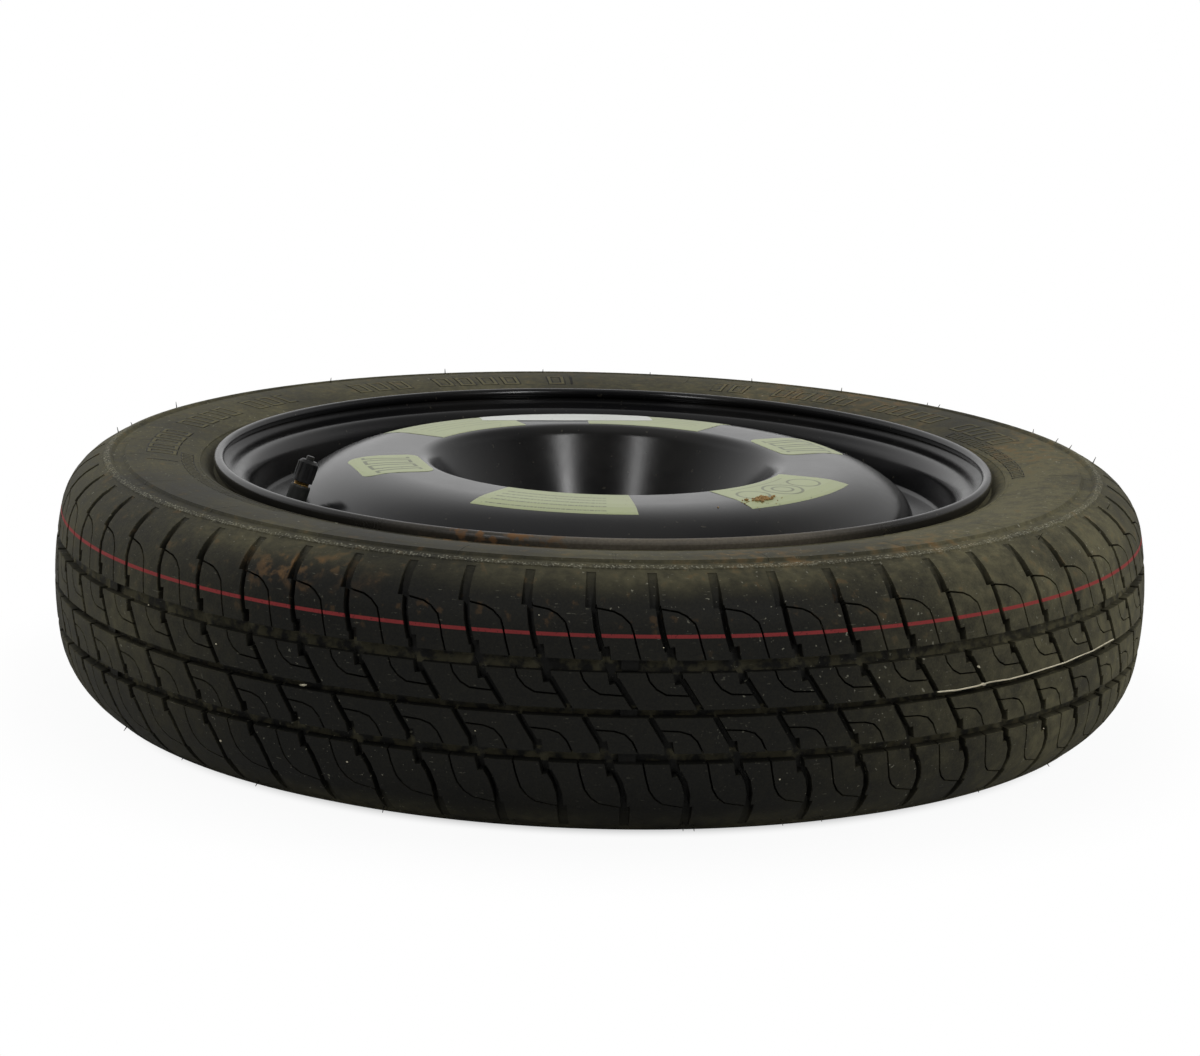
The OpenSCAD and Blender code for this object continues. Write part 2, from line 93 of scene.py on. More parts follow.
class Socket:
    """A node's output that takes part in sums, so that shader maths reads like maths."""

    __add__, __radd__ = maths_method("ADD"), maths_method("ADD", True)
    __sub__, __rsub__ = maths_method("SUBTRACT"), maths_method("SUBTRACT", True)
    __mul__, __rmul__ = maths_method("MULTIPLY"), maths_method("MULTIPLY", True)
    __truediv__ = maths_method("DIVIDE")
    __mod__ = maths_method("FLOORED_MODULO")
    least, most = maths_method("MINIMUM"), maths_method("MAXIMUM")

    def __init__(self, graph: "Graph", output: bpy.types.NodeSocket) -> None:
        """Args: graph: the graph it belongs to. output: the node output that it stands for."""
        self.graph = graph
        self.output = output

    def __abs__(self) -> "Socket":
        """Size without its sign."""
        return self.graph.math("ABSOLUTE", self)

    def ramp(self, low: float, high: float) -> "Socket":
        """A smooth step from 0 at low to 1 at high.

        Args:
            low: the value at which the step starts.
            high: the value at which it ends, which may be under low for a falling step.

        Returns:
            The step.
        """
        bounds = {"From Min": min(low, high), "From Max": max(low, high)}
        step = self.graph.value("Result", "ShaderNodeMapRange", {"Value": self, **bounds},
                                interpolation_type="SMOOTHSTEP")
        return step if low < high else 1.0 - step

    def near(self, centre: float, half: float, soft: float) -> "Socket":
        """1 within half of the centre and 0 beyond, with an edge as wide as soft."""
        return abs(self - centre).ramp(half + soft / 2, half - soft / 2)

    def in_cell(self, pitch: float) -> "Socket":
        """How far it is from the middle of its cell, in cells as wide as the pitch."""
        return self % pitch - pitch / 2


Term = Socket | float


class Graph:
    """A material's or a world's node tree, which is built node by node."""

    def __init__(self, tree: bpy.types.NodeTree) -> None:
        """Args: tree: the tree, which is emptied."""
        self.tree = tree
        tree.nodes.clear()

    def node(self, kind: str, inputs: dict | None = None, **settings: object) -> bpy.types.Node:
        """Adds a node.

        Args:
            kind: the node's type.
            inputs: what each input gets, by its name or its number: a socket, the first output of
                a node, a colour or a number.
            settings: the properties to set on the node.

        Returns:
            The node.
        """
        node = self.tree.nodes.new(kind)
        for name, value in settings.items():
            setattr(node, name, value)
        for name, value in (inputs or {}).items():
            if isinstance(value, Socket):
                self.tree.links.new(value.output, node.inputs[name])
            elif isinstance(value, bpy.types.Node):
                self.tree.links.new(value.outputs[0], node.inputs[name])
            else:
                node.inputs[name].default_value = (*value, 1.0) if isinstance(value, tuple) else value
        return node

    def value(self, output: str | int, kind: str, inputs: dict | None = None, **settings: object) -> Socket:
        """Adds a node as node() does, and gives the output with that name or number."""
        return Socket(self, self.node(kind, inputs, **settings).outputs[output])

    def math(self, operation: str, *terms: Term) -> Socket:
        """Adds a maths node over the terms."""
        return self.value(0, "ShaderNodeMath", dict(enumerate(terms)), operation=operation)

    def distance(self, x: Term, y: Term) -> Socket:
        """The length of a level line from its two parts."""
        return self.math("SQRT", x * x + y * y)

    def mix(self, share: Term, first: Socket | Colour, second: Socket | Colour) -> Socket:
        """Mixes two colours, with the share of the second one from 0 to 1."""
        inputs = {0: share, 6: first, 7: second}
        return self.value(2, "ShaderNodeMix", inputs, data_type="RGBA", clamp_factor=True)

    def noise(self, scale: float, detail: float, where: Socket | None = None) -> Socket:
        """Noise from 0 to 1.

        Args:
            scale: the noise's cells in a metre.
            detail: how many finer layers it has.
            where: the coordinates, or None for the object's own.

        Returns:
            The noise's value.
        """
        inputs = {"Vector": where or self.place_m(), "Scale": scale, "Detail": detail}
        return self.value("Fac", "ShaderNodeTexNoise", inputs)

    def place_m(self) -> Socket:
        """The object's own coordinates, which are the row frame's."""
        return self.value("Object", "ShaderNodeTexCoord")

    def attribute(self, name: str) -> Socket:
        """A number stored on the mesh."""
        return self.value("Fac", "ShaderNodeAttribute", attribute_name=name)

    def seen(self) -> Socket:
        """1 to the camera's own rays and 0 to all others."""
        return self.value("Is Camera Ray", "ShaderNodeLightPath")

    def parts(self, vector: Socket) -> tuple[Socket, Socket, Socket]:
        """The three parts of a vector."""
        node = self.node("ShaderNodeSeparateXYZ", {0: vector})
        return tuple(Socket(self, out) for out in node.outputs)

    def joined(self, x: Term, y: Term, z: Term) -> Socket:
        """A vector from its three parts."""
        return self.value(0, "ShaderNodeCombineXYZ", {0: x, 1: y, 2: z})

    def round_the_wheel(self) -> tuple[Socket, Socket, Socket]:
        """The place on the wheel.

        Returns:
            The radius, the direction from -180 to 180, and the height.
        """
        x, y, z = self.parts(self.place_m())
        direction = self.math("ARCTAN2", y, x) * math.degrees(1.0)
        return self.distance(x, y) / MM, direction, z / MM


def turn_from(direction: Socket, centre: float) -> Socket:
    """How far a direction round the wheel is from the centre, from -180 to 180."""
    return (direction - centre + 540.0) % 360.0 - 180.0


def largest(shares: Iterable[Socket]) -> Socket:
    """The largest of several shares at each place."""
    return functools.reduce(Socket.most, shares)


@dataclass(frozen=True)
class Span:
    """A stretch of a measure: 1 within half of its middle and 0 beyond, with an edge as wide as soft."""

    middle: float
    half: float
    soft: float

    def of(self, measure: Socket) -> Socket:
        """Its share at each value of a measure."""
        return measure.near(self.middle, self.half, self.soft)

    def round(self, direction: Socket) -> Socket:
        """Its share at each direction round the wheel."""
        return turn_from(direction, self.middle).near(0.0, self.half, self.soft)


@dataclass(frozen=True)
class Patch:
    """A soft-edged area of the tyre: a span round the wheel, a span across the section, and its share."""

    directions: Span
    across: Span
    share: float

    def of(self, across: Socket, direction: Socket) -> Socket:
        """How much of it there is at each place."""
        return self.share * (self.directions.round(direction) * self.across.of(across))


@dataclass(frozen=True)
class FrameRow:
    """Plain raised frames that repeat in some fields of the sidewall, with their sizes round and across it.

    A word is a number of places of which the first stays empty; a row without words has a word of 0.
    """

    fields: tuple[Span, ...]
    pitch: float
    half: float
    inner_half: float
    across: float
    tall: float
    inner_tall: float
    word: int = 0
    soft_round: float = 0.26
    soft_across: float = 0.9

    def of(self, across: Socket, direction: Socket) -> Socket:
        """Where the frames are.

        Args:
            across: the distance over the section.
            direction: the direction round the wheel.

        Returns:
            The share from 0 to 1.
        """
        turn = direction + 360.0
        along, out = turn.in_cell(self.pitch), across - self.across
        whole = along.near(0.0, self.half, self.soft_round) * out.near(0.0, self.tall, self.soft_across)
        inner = out.near(0.0, self.inner_tall, self.soft_across)
        frames = whole - along.near(0.0, self.inner_half, self.soft_round) * inner
        if self.word:
            frames = frames * (turn % (self.word * self.pitch)).ramp(self.pitch - 0.1, self.pitch)
        return largest(span.round(direction) for span in self.fields) * frames


# ---- finishes ----


@dataclass(frozen=True)
class Finish:
    """A finish on the standard surface shader: each kind says what varies over it and what is fixed."""

    name: str

    def look(self, g: Graph) -> dict[str, Socket]:
        """The shader's varying inputs by name, with Bump as a height in mm."""
        raise NotImplementedError

    def fixed(self) -> dict[str, float]:
        """The fixed values of the shader's other inputs."""
        return {}

    def material(self) -> Material:
        """Makes the material.

        Returns:
            The material.
        """
        material = bpy.data.materials.new(self.name)
        material.use_nodes = True
        g = Graph(material.node_tree)
        look = self.look(g)
        bump = g.node("ShaderNodeBump", {"Height": look.pop("Bump"), "Distance": MM, "Strength": 1.0})
        shader = g.node("ShaderNodeBsdfPrincipled", {**self.fixed(), **look, "Normal": bump})
        g.node("ShaderNodeOutputMaterial", {"Surface": shader})
        return material


@dataclass(frozen=True)
class RubberFinish(Finish):
    """Black tyre rubber under greenish-brown dust, with soil in places and a thin red line, and with painted
    shade on its camera side and round its raised marks, and a painted highlight on its groove edges.

    It reads the tyre's own attributes: across is the distance over the section from the middle of the
    tread, and groove is the depth in a groove as a share.
    """

    name: str = "tyre_rubber"
    clean: Colour = (0.0052, 0.0054, 0.0046)
    # mark_outline_shade is the near-black of the painted shade drawn round the raised marks' edges.
    mark_outline_shade: Colour = (0.001, 0.001, 0.001)
    dust: Colour = (0.118, 0.108, 0.062)
    soil: Colour = (0.165, 0.090, 0.034)
    scuff: Colour = (0.36, 0.35, 0.27)
    line: Colour = (0.28, 0.030, 0.032)
    line_span: Span = Span(35.6, 0.85, 0.3)
    tread: Span = Span(0.0, 58.0, 16.0)
    # shaded_front is painted shade: on the side that faces the camera the dust is held back, so the rubber
    # there is darker.
    shaded_front: Span = Span(-98.0, 38.0, 32.0)
    dusty_right: Span = Span(-18.0, 44.0, 36.0)
    # groove_edge_dust_and_highlight: dust along the grooves' top edges, together with a painted highlight
    # where a rounded edge would catch the light.
    groove_edge_dust_and_highlight: Span = Span(0.08, 0.07, 0.06)
    ring_grooves: tuple[Span, ...] = (Span(21.6, 4.0, 1.0), Span(-0.5, 3.0, 1.0), Span(-22.5, 3.7, 1.0))
    bright: Patch = Patch(Span(-20.0, 10.0, 16.0), Span(52.0, 9.0, 14.0), 0.4)
    soiled: tuple[Patch, ...] = (
        Patch(Span(-118.0, 6.5, 8.0), Span(54.0, 9.0, 8.0), 0.9),
        Patch(Span(-104.0, 9.0, 9.0), Span(117.0, 11.0, 8.0), 0.9),
        Patch(Span(-62.0, 14.0, 14.0), Span(88.0, 14.0, 14.0), 0.55),
        Patch(Span(35.0, 30.0, 30.0), Span(100.0, 24.0, 14.0), 0.4),
    )
    sidewall: Span = Span(70.0, 40.0, 30.0)
    ridge: Span = Span(73.5, 1.7, 1.2)
    frame_rows: tuple[FrameRow, ...] = (
        FrameRow((Span(166.0, 25.0, 0.4), Span(44.0, 30.0, 0.4), Span(112.0, 17.0, 0.4)),
                 3.4, 1.25, 0.62, 102.5, 8.0, 5.6, 5),
        FrameRow((Span(204.0, 20.0, 0.4), Span(12.0, 16.0, 0.4)), 2.1, 0.75, 0.35, 116.0, 3.2, 2.1),
    )
    mould_pitch: float = 16.7
    mould_shift: float = 4.05
    mould_lines: Span = Span(87.0, 12.5, 0.8)
    hatch_pitch: float = 1.5
    hatched: Patch = Patch(Span(-128.0, 22.0, 0.4), Span(117.0, 4.0, 0.4), 1.2)

    def fixed(self) -> dict[str, float]:
        """Rubber mirrors less than enamel does."""
        return {"Specular IOR Level": 0.26}

    def look(self, g: Graph) -> dict[str, Socket]:
        """The varying inputs of the rubber.

        Args:
            g: the graph.

        Returns:
            The inputs by name.
        """
        across, groove = g.attribute("across"), g.attribute("groove")
        _, direction, _ = g.round_the_wheel()
        cloud, grain, fine = g.noise(14.0, 4.0), g.noise(160.0, 5.0), g.noise(900.0, 3.0)
        marks = sum(row.of(across, direction) for row in self.frame_rows)
        # outline is painted shade: a dark line round each raised mark's edge, with its dust taken off,
        # standing in for the shade of its relief.
        outline = (marks * (1.0 - marks) * 4.0).least(1.0)
        dust = self.dust_share(g, across, groove, cloud, grain, fine) + 0.45 * marks
        dust = dust + self.bright.of(across, direction) * cloud.ramp(0.3, 0.6)
        dust = (dust * (1.0 - outline)).least(1.0).most(0.0)
        colour = g.mix(dust, g.mix(outline, self.clean, self.mark_outline_shade), self.dust)
        colour = g.mix(self.soil_share(across, direction, cloud, grain), colour, self.soil)
        colour = g.mix(self.scuff_share(g, across, direction, fine), colour, self.scuff)
        line = self.line_span.of(across) * groove.ramp(0.25, 0.02) * (0.75 + 0.25 * grain)
        colour = g.mix(line * fine.ramp(0.2, 0.42), colour, self.line)
        rough = 0.56 + 0.30 * dust + 0.10 * grain
        relief = self.relief(across, direction) + 3.2 * marks + 0.10 * fine + 0.16 * grain
        return {"Base Color": colour, "Roughness": rough, "Bump": relief}

    def dust_share(self, g: Graph, across: Socket, groove: Socket, cloud: Socket, grain: Socket,
                   fine: Socket) -> Socket:
        """How much dust lies on the tread, in its grooves and on the sidewall, with less of it on the side
        facing the camera as painted shade, and along the groove edges as dust with a painted highlight.

        Args:
            g: the graph.
            across: the distance over the section.
            groove: the depth in a groove.
            cloud: broad noise.
            grain: fine noise.
            fine: the finest noise.

        Returns:
            The share, which may go over 1.
        """
        radius, direction, height = g.round_the_wheel()
        streaks = g.noise(26.0, 4.0, g.joined(radius * 0.02, direction * 0.05, height * 0.02))
        top, tread = groove.ramp(0.25, 0.02), self.tread.of(across)
        # front holds the dust back on the side facing the camera, on the tread, the sidewall and the groove
        # edges, as painted shade.
        front, right = self.shaded_front.round(direction), self.dusty_right.round(direction)
        film = (0.14 + 0.50 * cloud.ramp(0.27, 0.76)) * (0.45 + 0.75 * grain.ramp(0.24, 0.80))
        film = film * (1.0 - 0.93 * front * tread) * (0.60 + 0.40 * top) * (1.0 + 0.7 * right)
        wall = (1.0 - tread) * across.ramp(40.0, 60.0) * (0.05 + 0.24 * streaks.ramp(0.35, 0.7))
        wall = wall * (1.0 - 0.6 * front) * cloud.ramp(0.2, 0.55)
        # edges is dust and a painted highlight together, along the grooves' top edges.
        edges = self.groove_edge_dust_and_highlight.of(groove) * fine.ramp(0.40, 0.62) * (1.0 - 0.7 * front)
        rings = largest(span.of(across) for span in self.ring_grooves)
        floors = rings * groove.ramp(0.9, 1.0) * grain.ramp(0.40, 0.60)
        return film + wall + 0.45 * edges + 0.5 * floors

    def soil_share(self, across: Socket, direction: Socket, cloud: Socket, grain: Socket) -> Socket:
        """How much ochre soil covers the rubber, in patches and in crumbs over the sidewall.

        Args:
            across: the distance over the section.
            direction: the direction round the wheel.
            cloud: broad noise.
            grain: fine noise.

        Returns:
            The share from 0 to 1.
        """
        patchy = grain.ramp(0.46, 0.62) * cloud.ramp(0.38, 0.6)
        crumbs = grain.ramp(0.60, 0.72) * self.sidewall.of(across) * 0.25
        return (patchy * sum(patch.of(across, direction) for patch in self.soiled) + crumbs).least(1.0)

    def scuff_share(self, g: Graph, across: Socket, direction: Socket, fine: Socket) -> Socket:
        """How much whitish scuffing there is: along the ridge beside the tread, and in scattered specks.

        Args:
            g: the graph.
            across: the distance over the section.
            direction: the direction round the wheel.
            fine: the finest noise.

        Returns:
            The share from 0 to 1.
        """
        ridge = self.ridge.of(across) * fine.ramp(0.50, 0.66)
        specks = g.noise(420.0, 2.0).ramp(0.69, 0.74) * g.noise(9.0, 2.0).ramp(0.42, 0.6)
        dashes = g.noise(60.0, 2.0, g.joined(across * 0.02, direction * 0.012, 0.0)).ramp(0.66, 0.72)
        return (0.55 * ridge + 0.5 * specks + 0.22 * dashes * fine.ramp(0.45, 0.6)).least(1.0)

    def relief(self, across: Socket, direction: Socket) -> Socket:
        """Height of the mould lines on the upper sidewall and of the hatching beside the flange.

        Args:
            across: the distance over the section.
            direction: the direction round the wheel.

        Returns:
            The height in mm.
        """
        turn = direction + 360.0
        lines = (turn + self.mould_shift).in_cell(self.mould_pitch).near(0.0, 0.14, 0.1)
        hatch = turn.in_cell(self.hatch_pitch).near(0.0, 0.2, 0.12)
        return 0.5 * (lines * self.mould_lines.of(across)) + self.hatched.of(across, direction) * hatch


@dataclass(frozen=True)
class PaintFinish(Finish):
    """Black enamel on pressed steel, with dust that lies on it, and soil and wear on a flange's lip."""

    colour: Colour = (0.0060, 0.0060, 0.0066)
    dust: Colour = (0.075, 0.068, 0.050)
    worn: Colour = (0.150, 0.130, 0.098)
    rust: Colour = (0.190, 0.095, 0.035)
    gloss: float = 0.13
    dusty: float = 0.10
    flange_soil: bool = False
    soiled: Span = Span(-104.0, 8.0, 9.0)
    rubbed: Span = Span(-86.0, 30.0, 26.0)

    def fixed(self) -> dict[str, float]:
        """Enamel mirrors as glass does."""
        return {"IOR": 1.5}

    def look(self, g: Graph) -> dict[str, Socket]:
        """The varying inputs of the paint.

        Args:
            g: the graph.

        Returns:
            The inputs by name.
        """
        cloud, grain, fine = g.noise(11.0, 3.0), g.noise(140.0, 4.0), g.noise(700.0, 2.0)
        dust = self.dusty * cloud.ramp(0.35, 0.75) * (0.4 + 0.6 * grain)
        specks = g.noise(330.0, 1.0).ramp(0.735, 0.76)
        colour = g.mix(dust + 0.35 * specks, self.colour, self.dust)
        rough = self.gloss + 0.07 * cloud + 0.5 * dust + 0.05 * grain
        if self.flange_soil:
            radius, direction, height = g.round_the_wheel()
            lip = radius.ramp(203.0, 205.0) * height.ramp(36.0, 40.0)
            soil = lip * self.soiled.round(direction) * grain.ramp(0.52, 0.62)
            patchy = (0.75 + 0.25 * fine.ramp(0.42, 0.62)) * cloud.ramp(0.2, 0.6)
            worn = lip * (0.06 + 0.94 * self.rubbed.round(direction)) * patchy
            colour = g.mix(0.8 * soil, g.mix(0.9 * worn, colour, self.worn), self.rust)
            rough = (rough + 0.5 * soil + 0.5 * worn).least(0.9)
        return {"Base Color": colour, "Roughness": rough, "Bump": 0.008 * fine + 0.012 * grain}


@dataclass(frozen=True)
class PlainFinish(Finish):
    """One colour with a little grain and dirt, for the small pieces."""

    colour: Colour
    rough: float
    metallic: float = 0.0
    grain: float = 0.03
    dirty: float = 0.15
    dirt: Colour = (0.06, 0.055, 0.042)

    def fixed(self) -> dict[str, float]:
        """Metal or not."""
        return {"Metallic": self.metallic}

    def look(self, g: Graph) -> dict[str, Socket]:
        """The varying inputs of the finish.

        Args:
            g: the graph.

        Returns:
            The inputs by name.
        """
        grain, cloud = g.noise(1800.0, 3.0), g.noise(260.0, 3.0)
        colour = g.mix(self.dirty * cloud.ramp(0.45, 0.75), self.colour, self.dirt)
        rough = self.rough + 0.16 * (grain - 0.5)
        return {"Base Color": colour, "Roughness": rough, "Bump": self.grain * grain}


@dataclass(frozen=True)
class ThreadFinish(Finish):
    """Brass with a fine thread round an axis that leans, given by the thread's start along it."""

    axis: Vector
    start_m: float
    pitch: float = 0.794
    colour: Colour = (0.62, 0.38, 0.12)
    tarnish: Colour = (0.16, 0.075, 0.02)

    def fixed(self) -> dict[str, float]:
        """Brass is metal."""
        return {"Metallic": 1.0}

    def look(self, g: Graph) -> dict[str, Socket]:
        """The varying inputs of the brass, with the thread as relief along the axis.

        Args:
            g: the graph.

        Returns:
            The inputs by name.
        """
        x, y, z = g.parts(g.place_m())
        along = (x * self.axis.x + y * self.axis.y + z * self.axis.z - self.start_m) / MM
        wave = abs((along / self.pitch).in_cell(1.0)) * 2.0
        cloud = g.noise(900.0, 3.0)
        colour = g.mix(0.45 * cloud.ramp(0.4, 0.7), self.colour, self.tarnish)
        return {"Base Color": colour, "Roughness": 0.26 + 0.2 * cloud, "Bump": 0.28 * wave}


class Print(Enum):
    """What simple dark shapes a label carries."""

    NONE = "none"
    LINES = "lines"
    RINGS = "rings"
    BARS = "bars"
    FAINT = "faint"


@dataclass(frozen=True)
class Rules:
    """Parallel rules printed along a label: their pitch and half width, and the area that they fill."""

    pitch: float
    half: float
    soft: float
    along: Span
    out: Span

    def of(self, along: Socket, out: Socket) -> Socket:
        """Where the rules are, from 0 to 1."""
        rules = out.in_cell(self.pitch).near(0.0, self.half, self.soft)
        return rules * self.along.of(along) * self.out.of(out)


@dataclass(frozen=True)
class PaperFinish(Finish):
    """A label's film: a plain field, worn and dusty, with a few simple dark shapes.

    Each ring is listed with its middle along the label, its radius and its half width.
    """

    direction: float
    pattern: Print
    field: Colour = (0.350, 0.390, 0.200)
    ink: Colour = (0.060, 0.064, 0.048)
    dust: Colour = (0.34, 0.33, 0.29)
    speck: Colour = (0.05, 0.04, 0.03)
    middle_r: float = 117.0
    wide_rules: Rules = Rules(6.2, 0.95, 0.5, Span(-4.0, 28.0, 0.6), Span(1.0, 15.0, 0.5))
    fine_rules: Rules = Rules(4.0, 0.3, 0.3, Span(0.0, 26.0, 0.5), Span(-14.0, 2.6, 0.4))
    faint_rules: Rules = Rules(5.0, 0.4, 0.4, Span(0.0, 27.0, 0.6), Span(0.0, 12.0, 0.5))
    rings: tuple[tuple[float, float, float], ...] = (
        (0.0, 10.5, 0.75), (0.0, 5.5, 0.70), (-23.0, 8.5, 0.70), (22.0, 8.5, 0.70),
    )
    bar_pitch: float = 12.0
    bar_outer: Point = (4.5, 12.8)
    bar_inner: Point = (2.7, 11.0)
    bar_area: Span = Span(0.0, 18.0, 0.2)

    def fixed(self) -> dict[str, float]:
        """Film mirrors a little less than enamel."""
        return {"IOR": 1.45}

    def look(self, g: Graph) -> dict[str, Socket]:
        """The varying inputs of the film.

        Args:
            g: the graph.

        Returns:
            The inputs by name.
        """
        radius, direction, _ = g.round_the_wheel()
        along = turn_from(direction, self.direction) * (math.radians(1.0) * self.middle_r)
        cloud, grain = g.noise(30.0, 4.0), g.noise(420.0, 3.0)
        ink = self.shapes(g, along, radius - self.middle_r)
        colour = g.mix(0.18 * cloud.ramp(0.35, 0.7) + 0.12 * grain, self.field, self.dust)
        colour = g.mix(ink * (0.70 + 0.30 * grain), colour, self.ink)
        specks = g.noise(520.0, 1.0).ramp(0.74, 0.77)
        colour = g.mix(0.7 * specks, colour, self.speck)
        return {"Base Color": colour, "Roughness": 0.34 + 0.12 * cloud, "Bump": 0.02 * grain}

    def shapes(self, g: Graph, along: Socket, out: Socket) -> Term:
        """Where the ink is.

        Args:
            g: the graph.
            along: the distance along the label from its middle.
            out: the distance outwards from its middle.

        Returns:
            A share from 0 to 1.
        """
        if self.pattern is Print.LINES:
            gaps = g.noise(300.0, 1.0, g.joined(along * 0.006, 0.0, 0.0)).ramp(0.40, 0.50)
            return 0.8 * self.wide_rules.of(along, out) * gaps
        if self.pattern is Print.RINGS:
            rings = largest(g.distance(along - at, out).near(r, half, 0.5) for at, r, half in self.rings)
            return 0.75 * rings.most(self.fine_rules.of(along, out))
        if self.pattern is Print.BARS:
            bars = self.blocks(along, out, self.bar_outer) - self.blocks(along, out, self.bar_inner)
            return 0.85 * bars * self.bar_area.of(along)
        if self.pattern is Print.FAINT:
            return 0.45 * self.faint_rules.of(along, out)
        return 0.0

    def blocks(self, along: Socket, out: Socket, size: Point) -> Socket:
        """Where blocks of half a size are, one in each cell along the label."""
        return along.in_cell(self.bar_pitch).near(0.0, size[0], 0.3) * out.near(0.0, size[1], 0.3)


# ---- mesh helpers ----


def new_object(name: str, bm: Mesh, material: Material, body: str, sharp: float = 35.0) -> Piece:
    """Turns a finished mesh, drawn in mm in the row frame, into a piece that rides on a CAD body.

    Args:
        name: the piece's name.
        bm: the mesh, which is freed.
        material: its finish.
        body: the CAD body that it moves with.
        sharp: the angle over which an edge is shaded sharp.

    Returns:
        The object.
    """
    bmesh.ops.transform(bm, matrix=Matrix.Scale(MM, 4), verts=bm.verts)
    for face in bm.faces:
        face.smooth = True
    for edge in bm.edges:
        edge.smooth = len(edge.link_faces) == 2 and edge.calc_face_angle() < math.radians(sharp)
    mesh = bpy.data.meshes.new(name)
    bm.to_mesh(mesh)
    bm.free()
    mesh.materials.append(material)
    obj = bpy.data.objects.new(name, mesh)
    bpy.context.scene.collection.objects.link(obj)
    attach(obj, body)
    return obj


def on_wheel(radius: float, direction: float, height: float) -> Vector:
    """The point at a radius, a direction and a height."""
    a = math.radians(direction)
    return Vector((radius * math.cos(a), radius * math.sin(a), height))


def arc(centre: Point, radius: float, start: float, end: float, steps: int) -> list[Point]:
    """Points along an arc from one angle to another, in degrees."""
    turns = [math.radians(start + (end - start) * i / steps) for i in range(steps + 1)]
    return [(centre[0] + radius * math.cos(t), centre[1] + radius * math.sin(t)) for t in turns]


def rounded(corners: Sequence[Point], radii: Sequence[float], steps: int = 4) -> list[Point]:
    """A path through corners, each rounded by its radius.

    Args:
        corners: the corner points.
        radii: one radius for each corner; the first and the last aren't used.
        steps: how many pieces each bend has.

    Returns:
        The path's points.
    """
    out = [corners[0]]
    for before, at, after, radius in zip(corners, corners[1:], corners[2:], radii[1:]):
        a, p, b = Vector(before), Vector(at), Vector(after)
        u, v = (p - a).normalized(), (b - p).normalized()
        turn = math.atan2(u.x * v.y - u.y * v.x, u.dot(v))
        side = math.copysign(1.0, turn)
        centre = p - u * radius * math.tan(abs(turn) / 2) + Vector((-u.y, u.x)) * radius * side
        for i in range(steps + 1):
            t = turn * i / steps
            w = Vector((u.x * math.cos(t) - u.y * math.sin(t), u.x * math.sin(t) + u.y * math.cos(t)))
            q = centre - Vector((-w.y, w.x)) * radius * side
            out.append((q.x, q.y))
    return [*out, corners[-1]]


def everything(bm: Mesh) -> list[bmesh.types.BMVert | bmesh.types.BMEdge | bmesh.types.BMFace]:
    """All the corners, edges and faces of a mesh."""
    return bm.verts[:] + bm.edges[:] + bm.faces[:]


def slice_faces(bm: Mesh, faces: Iterable, at: Point, normal: Point) -> list[bmesh.types.BMFace]:
    """Cuts some level faces by an upright plane.

    Args:
        bm: the mesh.
        faces: the faces to cut.
        at: a point on the plane.
        normal: the plane's normal.

    Returns:
        The faces afterwards.
    """
    faces = list(faces)
    parts = set(faces)
    for f in faces:
        parts.update(f.edges)
        parts.update(f.verts)
    result = bmesh.ops.bisect_plane(bm, geom=list(parts), dist=SNAP, plane_co=(*at, 0),
                                    plane_no=(*normal, 0))
    return [g for g in result["geom"] if isinstance(g, bmesh.types.BMFace)]


def carve(bm: Mesh, outline: Sequence[Point], layer: object, height: float | None = None) -> None:
    """Cuts level faces along a convex outline, and marks what is inside it.

    Args:
        bm: the mesh.
        outline: the outline's corners, listed anticlockwise.
        layer: the face layer that holds the marks.
        height: the height of the faces to cut, or None for every face.
    """
    xs, ys = [p[0] for p in outline], [p[1] for p in outline]
    faces = []
    for f in bm.faces:
        if height is not None and any(abs(v.co.z - height) > LEVEL for v in f.verts):
            continue
        fx, fy = [v.co.x for v in f.verts], [v.co.y for v in f.verts]
        if max(fx) > min(xs) and min(fx) < max(xs) and max(fy) > min(ys) and min(fy) < max(ys):
            faces.append(f)
    for a, b in zip(outline, [*outline[1:], outline[0]]):
        normal = Vector((b[1] - a[1], a[0] - b[0])).normalized()
        if not faces:
            return
        cut = slice_faces(bm, faces, a, tuple(normal))
        faces = [f for f in cut if (f.calc_center_median().xy - Vector(a)).dot(normal) < 0]
    for f in faces:
        f[layer] = 1


def spun(section: Sequence[Point], steps: int) -> Mesh:
    """Spins a closed section, drawn round the rim's middle, once round the wheel's axis.

    Args:
        section: its points as (radius, height).
        steps: how many pieces the turn has.

    Returns:
        The mesh.
    """
    bm = bmesh.new()
    verts = [bm.verts.new((r, 0.0, z - WHEEL_OFFSET)) for r, z in section]
    edges = [bm.edges.new((a, b)) for a, b in zip(verts, [*verts[1:], verts[0]])]
    bmesh.ops.spin(bm, geom=verts + edges, cent=(0, 0, 0), axis=(0, 0, 1), angle=math.tau, steps=steps,
                   use_merge=True)
    bmesh.ops.recalc_face_normals(bm, faces=bm.faces)
    return bm


def inner_side(outer: Sequence[Point], thickness: float) -> list[Point]:
    """The inner side of a sheet.

    Args:
        outer: its outer side, which has the sheet on the right of its way.
        thickness: the sheet's thickness.

    Returns:
        The inner side's points.
    """
    out = []
    for i, p in enumerate(outer):
        before, after = Vector(outer[max(i - 1, 0)]), Vector(outer[min(i + 1, len(outer) - 1)])
        u, v = (Vector(p) - before).normalized(), (after - Vector(p)).normalized()
        way = (u + v).normalized()
        out.append((p[0] + way.y * thickness, p[1] - way.x * thickness))
    return out


